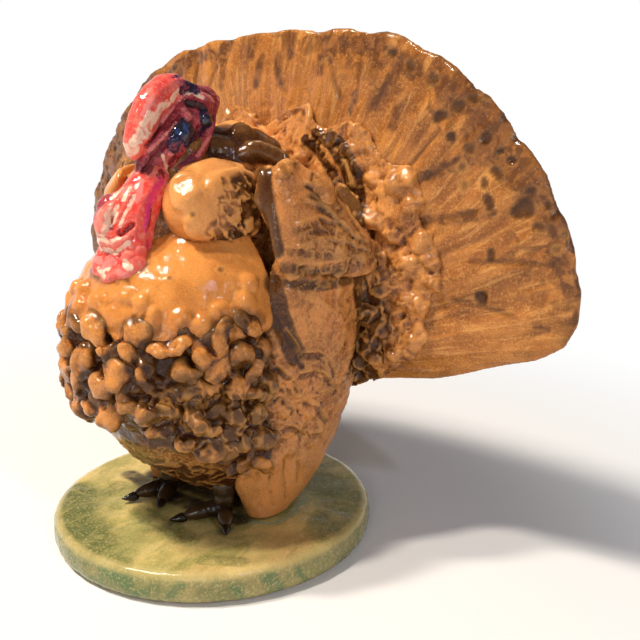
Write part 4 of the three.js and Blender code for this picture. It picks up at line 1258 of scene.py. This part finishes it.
def make_feet():
    skins = []
    for name in ("left", "right"):
        for node in ("leg", "foot"):
            skin = Skin(f"{name}_{node}_clay", [f"{name}_{node}"], voxel=0.45, soften=12)
            skin.move(0.3 * noise(skin.corners, 3.0, 81))
            # Painted shade: legs and toes nearly black under the belly, lighter only at the toes' front
            # ends
            skin.paint("pool", 0.95 - 0.6 * smooth(-19, -23, skin.corners[:, 1]))
            skins.append(skin)
        for node in ("claw_inner", "claw_outer"):
            skin = Skin(f"{name}_{node}_clay", [f"{name}_{node}"], voxel=0.35, soften=4, fill=0.1)
            skin.move(0.08 * noise(skin.corners, 1.8, 82))
            skins.append(skin)
    for skin in skins:
        glaze_layers(skin, 0.3, 0.8)
    return skins


# Head, snood and wattle. A stroke has its pixels and its half width in pixels.

# Cream glaze on the snood and wattle, with two painted highlights among the strokes
CREAM_AND_HIGHLIGHT_STROKES = [
    ([(178, 92), (172, 99)], 4), ([(167, 104), (161, 108), (157, 115)], 5),
    ([(152, 118), (147, 126), (142, 133)], 8), ([(142, 132), (136, 142), (132, 150)], 6.5),
    # The second stroke below is a painted highlight: the white line down the wattle
    ([(128, 146), (129, 154)], 4), ([(134, 196), (130, 206), (120, 226)], 2.4),
    ([(104, 232), (107, 218), (116, 208)], 5), ([(103, 240), (112, 243), (121, 238)], 3.5),
    ([(105, 248), (115, 253), (128, 243)], 3.2), ([(125, 262), (129, 268)], 4.5),
    ([(183, 96), (192, 93), (203, 98)], 2.6), ([(130, 188), (124, 200)], 3),
    # The first stroke below is a painted highlight on the chin
    ([(163, 155), (166, 166), (167, 173)], 2.2), ([(118, 214), (110, 226)], 3),
    ([(98, 268), (104, 276)], 3),
]
# Pink glaze on the head, with painted highlights along the hood's raised edge
PINK_AND_HIGHLIGHT_STROKES = [
    ([(182, 92), (174, 106), (162, 122), (150, 138)], 3), ([(176, 124), (160, 140), (148, 152)], 2),
    ([(181, 94), (192, 91), (204, 94), (213, 100)], 3.4), ([(172, 152), (166, 160), (165, 170)], 3),
    # Both strokes below are painted highlights along the hood's raised edge
    ([(200, 80), (211, 88), (218, 100), (219, 116)], 2.2), ([(219, 116), (210, 136), (196, 156)], 2),
    ([(113, 262), (103, 268)], 5), ([(140, 182), (138, 200)], 4), ([(184, 110), (190, 116)], 3.5),
    ([(150, 100), (144, 114)], 4), ([(118, 272), (128, 276)], 4),
]
MAROON_STROKES = [
    ([(174, 112), (162, 126), (148, 146)], 3.5), ([(163, 146), (152, 158), (146, 172)], 6),
    ([(200, 126), (192, 144), (180, 160)], 5), ([(208, 92), (215, 106), (213, 122)], 4),
    ([(180, 118), (168, 132)], 4), ([(186, 160), (176, 172)], 6), ([(172, 158), (160, 176)], 5),
    ([(120, 232), (127, 229), (132, 225)], 4), ([(150, 205), (147, 230), (149, 250)], 2.5),
    ([(206, 128), (198, 146), (188, 162)], 5), ([(196, 84), (208, 90)], 3.5),
]
MAGENTA_STROKES = [([(160, 180), (156, 190), (150, 202)], 5), ([(148, 206), (146, 226), (147, 250)], 3)]
BLUE_STROKES = [
    ([(182, 90), (189, 85), (195, 89)], 6.5), ([(203, 116), (203, 126)], 6),
    ([(172, 77), (180, 76)], 3), ([(186, 128), (176, 144)], 11), ([(190, 146), (198, 136)], 6),
]
SOCKET_STROKES = [([(188, 103), (196, 104), (204, 109)], 5), ([(184, 120), (192, 122)], 3.5)]
PAINTED_STROKES = {"cream": CREAM_AND_HIGHLIGHT_STROKES, "pink": PINK_AND_HIGHLIGHT_STROKES, "maroon": MAROON_STROKES,
                   "magenta": MAGENTA_STROKES, "blue": BLUE_STROKES, "socket": SOCKET_STROKES}
# Strokes that raise the clay, and then those that press it in, by their millimetres
RELIEF_STROKES = [
    ([(180, 96), (170, 104), (160, 120), (146, 138)], 4, 0.5),
    ([(178, 97), (190, 95), (198, 92), (207, 99)], 4, 0.7), ([(183, 112), (188, 118)], 4, 0.6),
    ([(174, 124), (158, 138), (144, 153)], 2, 0.5), ([(101, 230), (104, 215), (114, 206)], 6, 1.2),
    ([(104, 242), (114, 245), (128, 238)], 5, 1.0), ([(130, 196), (123, 208), (116, 222)], 4, 0.6),
    ([(218, 98), (219, 112), (212, 130), (198, 148), (186, 164)], 5, 0.5),
    ([(170, 112), (158, 128), (146, 146)], 3.5, -0.7), ([(189, 104), (203, 109)], 4.5, -0.8),
    ([(198, 128), (192, 142), (184, 154)], 3.5, -0.5), ([(120, 233), (126, 229), (131, 225)], 5, -1.6),
    ([(108, 210), (112, 222)], 3.5, -0.4), ([(102, 252), (116, 257), (134, 250)], 3, -0.5),
    ([(152, 158), (144, 170)], 4, -0.6),
]


def make_head():
    names = ["head", "snood", "upper_beak", "lower_beak", "left_cheek", "right_cheek", "left_eye",
             "right_eye", "neck", "wattle", "wattle_apron", "caruncles"]
    surface = surface_of_nodes(*names)

    def ropes(table):
        return [form for pixels, width in table for form in pressed_rope(surface, pixels, width)]

    hood = ropes(HOOD_ROPES) + lumps(surface, HOOD_LUMPS, 1.6, 1.0, 0.9)
    extras = {"wattle_apron": lumps(surface, APRON_LOBES, 2.0, 1.0, 0.95),
              "head": hood + on_side(hood, -1), "wattle": ropes(COIL_ROPES)}
    skins = {}
    for name in names:
        skins[name] = Skin(f"{name}_flesh", [name], extras.get(name, ()),
                           voxel=0.6 if name == "neck" else 0.38, soften=5)
    set_in = [name for name in names if "eye" in name or "cheek" in name]
    for name, skin in skins.items():
        skin.move((0.12 if name in set_in else 0.3) * rough(skin.corners, 4.2, 91, 2))
    neck = skins["neck"]
    neck.move(0.5 * noise(neck.corners, 5, 92))
    glaze_layers(neck)
    surface = surface_of_skins(skins.values())
    for name, skin in skins.items():
        if skin is neck:
            continue
        if name not in set_in:
            for pixels, width, lift in RELIEF_STROKES:
                skin.stroke(pixels, width, lift, surface=surface)
        for layer, table in PAINTED_STROKES.items():
            skin.strokes(table, layer, surface, widen=1.15)
        glaze_layers(skin, 0.3, 0.9)
    return skins


HOOD_ROPES = [
    ([(176, 82), (190, 80), (202, 84), (213, 94), (218, 110), (214, 128), (204, 144), (192, 158),
      (182, 170)], 5.5),
    ([(180, 98), (188, 95), (197, 94), (206, 101)], 4),
    ([(172, 128), (160, 140), (148, 152), (144, 166)], 4),
]
HOOD_LUMPS = [(188, 88, 10, 7, 0), (186, 116, 6, 7, 0), (172, 160, 9, 10, 0), (176, 148, 8, 8, 0),
              (181, 108, 6, 5, 0), (184, 168, 7, 6, 0)]
COIL_ROPES = [([(122, 200), (110, 208), (102, 220), (103, 234), (114, 240), (127, 238)], 7),
              ([(134, 186), (126, 200), (118, 214)], 6)]
APRON_LOBES = [(97, 262, 8, 9, 0), (108, 274, 9, 8, 0), (124, 272, 10, 8, 0), (138, 264, 8, 9, 0),
               (112, 258, 9, 7, 0), (128, 256, 9, 7, 0)]


# Glazes

# The brushed tones of the head, with painted highlights among the cream and pink, in the order in which
# they lie over each other
FACE_TONES = (("maroon", (104, 28, 40), 0.85), ("pink", (236, 140, 132), 0.85),
              ("magenta", (214, 52, 120), 0.8), ("socket", (38, 20, 22), 0.95),
              ("cream", (250, 218, 190), 0.85), ("blue", (26, 30, 62), 1.0))


def face_glaze(name, base, shade, crest_tone):
    """The painted glaze of the head: red, with brushed cream, pink, maroon and blue, and painted
    highlights in cream and pink.
    """
    glaze = Glaze(name, base)
    glaze.cloud((4.0, 4.0, 1.2), (0.35, 0.7), shade)
    glaze.blend(glaze.range(glaze.layer("pool"), 0.25, 1.0, 0.0, 0.75), (104, 22, 36))
    glaze.cloud((5.0, 3.0, 1.2), (0.48, 0.66, 0.0, 0.55), crest_tone)
    glaze.tint("crest", 0.6, crest_tone)
    glaze.flecks(0.8, 0.56, 0.74, 0.4, (236, 170, 150))
    ragged = glaze.range(glaze.noise(3.0, 2.5, 1.4), 0.3, 0.7, -0.55, 0.3)
    for layer, tone, strength in FACE_TONES:
        edge = glaze.range(glaze.maths("ADD", glaze.layer(layer), ragged), 0.15, 0.95)
        inside = glaze.range(glaze.layer(layer), 0.0, 0.2)
        glaze.blend(glaze.times(edge, inside, strength), tone)
    return glaze.done(1.6, 0.2, 0.06, 0.2)


def eye_glaze():
    glaze = Glaze("eye_glaze", (18, 20, 42), coat=0.5, specular=0.5)
    glaze.cloud((2.6, 3.0, 0.6), (0.5, 0.72), (48, 74, 128))
    glaze.cloud((1.9, 3.0, 0.9), (0.58, 0.72), (92, 34, 44))
    glaze.flecks(0.7, 0.6, 0.75, 0.4, (120, 120, 150))
    return glaze.done(2.0, 0.1, 0.04, 0.1)


def base_glaze():
    glaze = Glaze("base_glaze", (222, 198, 124))
    glaze.cloud((11, 6.0, 1.1, (1.0, 0.5, 1.0), 0.6), (0.4, 0.68, 0.0, 0.75), (160, 156, 84))
    glaze.cloud((34, 3.0, 0.5), (0.55, 0.72, 0.0, 0.5), (200, 150, 100))
    glaze.cloud((24, 5.0, 0.8, (1.0, 0.6, 1.0), 1.1), (0.44, 0.68, 0.0, 0.6), (134, 140, 78))
    glaze.cloud((5.5, 5.0, 1.0, (1.0, 0.4, 1.0), 0.35), (0.5, 0.7, 0.0, 0.45), (104, 118, 66))
    brushed = glaze.range(glaze.noise(5.0, 5.0, 1.4), 0.3, 0.62, 0.5, 0.95)
    glaze.tint("green", brushed, (94, 102, 52))
    glaze.tint("teal", 0.8, (138, 168, 146))
    glaze.tint("side", 0.7, (136, 134, 90))
    runs = glaze.range(glaze.noise(10, 5.0, 1.0, (1.0, 1.0, 0.5)), 0.47, 0.62)
    glaze.tint("side", glaze.times(runs, 0.75), (84, 118, 76))
    glaze.tint("pool", 0.5, (86, 112, 66))
    glaze.flecks(0.9, 0.5, 0.7, 0.4, (226, 204, 140))
    glaze.flecks(0.6, 0.56, 0.72, 0.45, (96, 92, 52))
    # Painted shade round the feet, patchy
    patchy_shade = glaze.range(glaze.noise(7.0, 4.0, 1.0), 0.25, 0.6, 0.6, 0.95)
    glaze.tint("shade_round_feet", patchy_shade, (66, 50, 38))
    glaze.tint("rim", 0.7, (214, 190, 126))
    glaze.blend(glaze.layer("bare"), (206, 186, 158))
    return glaze.done(2.2, 0.22, 0.14, 0.34)


# Fine lines that spread over the fan: how many fit round it and along it, where their noise shows
# and their tone
FAN_RAYS = (((60, 3.0), (0.46, 0.64, 0.0, 0.45), (120, 72, 34)),
            ((110, 5.0), (0.5, 0.66, 0.0, 0.35), (214, 146, 76)),
            ((240, 8.0), (0.52, 0.64, 0.0, 0.35), (104, 62, 30)),
            ((420, 11.0), (0.54, 0.64, 0.0, 0.4), (222, 162, 90)))


def fan_glaze():
    glaze = Glaze("fan_glaze", (192, 122, 56))
    glaze.cloud((26, 4.0, 0.6), (0.38, 0.62, 0.0, 0.85), (148, 86, 36))
    for (across, along), span, tone in FAN_RAYS:
        place = glaze.add("ShaderNodeCombineXYZ", {0: glaze.times(glaze.layer("turn"), across),
                                                   1: glaze.times(glaze.layer("reach"), along)})
        lines = glaze.add("ShaderNodeTexNoise", {"Vector": place.outputs[0], "Scale": 1.0,
                                                 "Detail": 3.0, "Distortion": 0.3})
        glaze.blend(glaze.range(lines.outputs["Fac"], *span), tone)
    glaze.flecks(0.8, 0.5, 0.72, 0.45, (222, 158, 86))
    glaze.flecks(0.55, 0.56, 0.72, 0.5, (112, 68, 34))
    glaze.swirls(9.0, 0.016, 0.4, (226, 166, 94))
    glaze.tint("crest", 0.35, (226, 162, 90))
    rim = glaze.range(glaze.layer("reach"), 0.74, 0.95)
    mottle = glaze.range(glaze.noise(5.5, 5.0, 0.9), 0.44, 0.58)
    patches = glaze.range(glaze.noise(24, 3.0, 0.5), 0.4, 0.6, 0.25, 1.0)
    glaze.blend(glaze.times(rim, mottle, patches, 0.95), (86, 50, 24))
    glaze.blend(glaze.range(glaze.layer("reach"), 0.93, 0.965, 0.0, 0.55), (104, 62, 32))
    cloudy = glaze.range(glaze.noise(13, 4.0, 0.6), 0.3, 0.6, 0.35, 0.8)
    glaze.tint("mottle", cloudy, (122, 76, 42))
    broken = glaze.range(glaze.noise(3.6, 3.0, 0.7), 0.44, 0.6)
    glaze.tint("mottle", glaze.times(broken, 0.75), (88, 52, 28))
    glaze.tint("pool", 0.8, (92, 54, 28))
    glaze.flecks(0.9, 0.58, 0.74, 0.3, (214, 156, 90))
    glaze.tint("lip", 0.6, (228, 170, 92))
    ragged = glaze.range(glaze.noise(1.6, 3.0, 0.8), 0.25, 0.5, 0.8, 1.0)
    glaze.tint("dark", ragged, (68, 38, 18))
    return glaze.done(1.5, 0.4, 0.09, 0.24)


# The brown glazes: their light tone, their shade, and how light and how broken they are
CLAY_GLAZES = {
    "breast": ((228, 146, 70), (202, 120, 54), {"fleck": 0.3, "pool_gain": 1.1}),
    "tuft": ((214, 136, 66), (160, 98, 50), {"swirl": 0.45, "pool_gain": 1.15, "crest": 0.4}),
    "dark": ((128, 78, 42), (92, 56, 30), {"swirl": 0.5}),
    "honey": ((246, 170, 98), (212, 138, 74), {"fleck": 0.3, "swirl": 0.4}),
    "wing": ((216, 138, 76), (164, 102, 56), {"swirl": 0.65}),
    "covert": ((214, 142, 78), (166, 102, 54), {"swirl": 0.5, "pool_gain": 0.85}),
    # Painted shade: the legs and toes are glazed nearly black, as they sit in the belly's shadow
    "toe": ((52, 34, 22), (34, 22, 16), {"pool_tone": (20, 14, 11), "fleck": 0.04, "swirl": 0.04,
                                         "crest": 0.08}),
    "claw": ((24, 18, 16), (16, 12, 11), {"pool_tone": (8, 6, 6), "fleck": 0.0, "swirl": 0.0,
                                          "crest": 0.02}),
}
# The bumps and the gloss of the brown glazes, except on the feet
WET = (1.7, 0.4, 0.07, 0.2)


def clay_glazes():
    made = {}
    for name, (light, shade, options) in CLAY_GLAZES.items():
        wet = () if name in ("toe", "claw") else WET
        made[name] = honey_glaze(f"{name}_glaze", light, shade, **options).done(*wet)
    return made


# The whole figure

def make_figure():
    """Makes all skins, then the marks that run over several of them, and hands them over."""
    glaze = clay_glazes()
    body = make_body()
    breast = make_breast(body)
    mantle = make_mantle()
    flanks = [make_flank(side, name) for side, name in ((1, "left"), (-1, "right"))]
    flank_skins = [skin for flank in flanks for skin in flank]
    tail = make_tail()
    shade_saddle([mantle, *flank_skins, *tail])
    shade_seams([body, mantle, *breast, *flank_skins, *tail])
    head = make_head()
    feet = make_feet()
    base = make_base()
    lute_joints([body, mantle, *breast, *tail, *head.values(), *feet, *flank_skins])

    fan, outer, left, right, rear, root = tail
    red = ("red", face_glaze("red_glaze", (236, 74, 60), (214, 48, 52), (240, 150, 132)))
    flesh = ("flesh", face_glaze("flesh_glaze", (158, 44, 54), (108, 30, 44), (196, 92, 100)))
    horn = ("horn", face_glaze("horn_glaze", (112, 42, 50), (82, 30, 40), (170, 84, 92)))
    eyes = ("eye", eye_glaze())
    dark = ("dark", glaze["dark"])
    finishes = {"neck": dark, "head": flesh, "caruncles": flesh, "snood": red, "wattle": red,
                "wattle_apron": red, "upper_beak": horn, "lower_beak": horn}
    dressed = [(base, "base", base_glaze()), (body, *dark), (mantle, "honey", glaze["honey"]),
               (breast[0], "breast", glaze["breast"])]
    dressed += [(skin, "breast", glaze["tuft"]) for skin in breast[1:]]
    for wing, flap, saddle in flanks:
        dressed += [(wing, "wing", glaze["wing"]), (flap, "wing", glaze["wing"]),
                    (saddle, "dark", glaze["covert"])]
    dressed += [(fan, "fan", fan_glaze()), (outer, "honey", glaze["covert"]),
                (left, "dark", glaze["covert"]), (right, "dark", glaze["covert"]),
                (rear, "honey", glaze["covert"]), (root, *dark)]
    dressed += [(skin, *finishes.get(name, eyes)) for name, skin in head.items()]
    for skin in feet:
        kind = "claw" if "claw" in skin.name else "toe"
        dressed.append((skin, kind, glaze[kind]))
    for skin, slot, material in dressed:
        to_object(skin, material)


# Camera, floor and light

def make_camera():
    data = bpy.data.cameras.new("camera")
    data.sensor_width = SENSOR_WIDTH
    data.lens = SENSOR_WIDTH * PHOTO_FOCAL / PHOTO_SIDE
    data.clip_start = 0.01
    camera = bpy.data.objects.new("camera", data)
    camera.location = CAMERA_PLACE * MM
    camera.rotation_euler = (math.pi / 2 - CAMERA_PITCH, 0, CAMERA_AZIMUTH)
    bpy.context.scene.collection.objects.link(camera)
    bpy.context.scene.camera = camera


def background_rays(nodes):
    """1 for the rays that should see the white surroundings: camera, glossy and transmission."""
    path = nodes.add("ShaderNodeLightPath").outputs
    seen = nodes.maths("MAXIMUM", path["Is Camera Ray"], path["Is Glossy Ray"])
    return nodes.maths("MAXIMUM", seen, path["Is Transmission Ray"])


def make_world(fill=0.18, fill_tone=(1.0, 0.97, 0.94)):
    """An even fill light. The backdrop is white up to a little over the horizon, then dims."""
    world = bpy.data.worlds.new("studio")
    world.use_nodes = True
    bpy.context.scene.world = world
    nodes = Nodes(world.node_tree)
    light = nodes.tree.nodes["Background"]
    light.inputs["Color"].default_value = (*fill_tone, 1)
    light.inputs["Strength"].default_value = fill
    upward = nodes.add("ShaderNodeSeparateXYZ", {0: nodes.add("ShaderNodeTexCoord").outputs["Generated"]})
    dimmed = nodes.range(upward.outputs["Z"], 0.16, 0.4, 1.0, 0.2, "LINEAR")
    backdrop = nodes.add("ShaderNodeBackground", {"Color": (1, 1, 1, 1), "Strength": dimmed})
    mixed = nodes.add("ShaderNodeMixShader", {0: background_rays(nodes), 1: light.outputs[0],
                                              2: backdrop.outputs[0]})
    nodes.wire(mixed.outputs[0], nodes.tree.nodes["World Output"].inputs["Surface"])


def make_floor(reach=6.0):
    """Pale paper that fades into the white backdrop beyond the figure and its shadow."""
    mesh = bpy.data.meshes.new("floor")
    mesh.from_pydata([(-reach, -reach, 0), (reach, -reach, 0), (reach, reach, 0), (-reach, reach, 0)],
                     [], [(0, 1, 2, 3)])
    floor = bpy.data.objects.new("floor", mesh)
    bpy.context.scene.collection.objects.link(floor)
    material = bpy.data.materials.new("pale_floor")
    material.use_nodes = True
    mesh.materials.append(material)
    nodes = Nodes(material.node_tree)
    paper = nodes.tree.nodes["Principled BSDF"]
    for key, value in (("Base Color", (0.9, 0.9, 0.9, 1)), ("Roughness", 0.9),
                       ("Specular IOR Level", 0.1)):
        paper.inputs[key].default_value = value
    away = nodes.add("ShaderNodeVectorMath", {0: nodes.add("ShaderNodeTexCoord").outputs["Object"]},
                     operation="LENGTH")
    fade = nodes.range(away.outputs["Value"], 0.10, 0.34)
    white = nodes.add("ShaderNodeEmission")
    mixed = nodes.add("ShaderNodeMixShader", {0: nodes.times(fade, background_rays(nodes)),
                                              1: paper.outputs[0], 2: white.outputs[0]})
    nodes.wire(mixed.outputs[0], nodes.tree.nodes["Material Output"].inputs["Surface"])


def make_lamp(name, place, power, size, tone):
    """An area lamp whose size holds its width and its height."""
    data = bpy.data.lights.new(name, "AREA")
    data.shape = "RECTANGLE"
    data.energy = power
    data.size, data.size_y = size
    data.color = tone
    lamp = bpy.data.objects.new(name, data)
    lamp.location = place
    lamp.rotation_euler = (Vector(LAMP_AIM) - Vector(place)).to_track_quat("-Z", "Y").to_euler()
    bpy.context.scene.collection.objects.link(lamp)


make_camera()
make_world()
make_floor()
for number, lamp_place in enumerate(KEY_LAMPS):
    make_lamp(f"key_lamp_{number + 1}", lamp_place, KEY_POWER, (0.06, 0.14), (1.0, 0.91, 0.79))
make_lamp("front_lamp", (0.50, -0.85, 0.40), 1.2, (0.2, 0.2), (1.0, 0.93, 0.84))
make_lamp("cool_lamp", (0.62, -0.22, 0.52), 0.9, (0.03, 0.06), (0.80, 0.82, 1.0))
make_figure()

bpy.context.scene.view_settings.view_transform = "Standard"
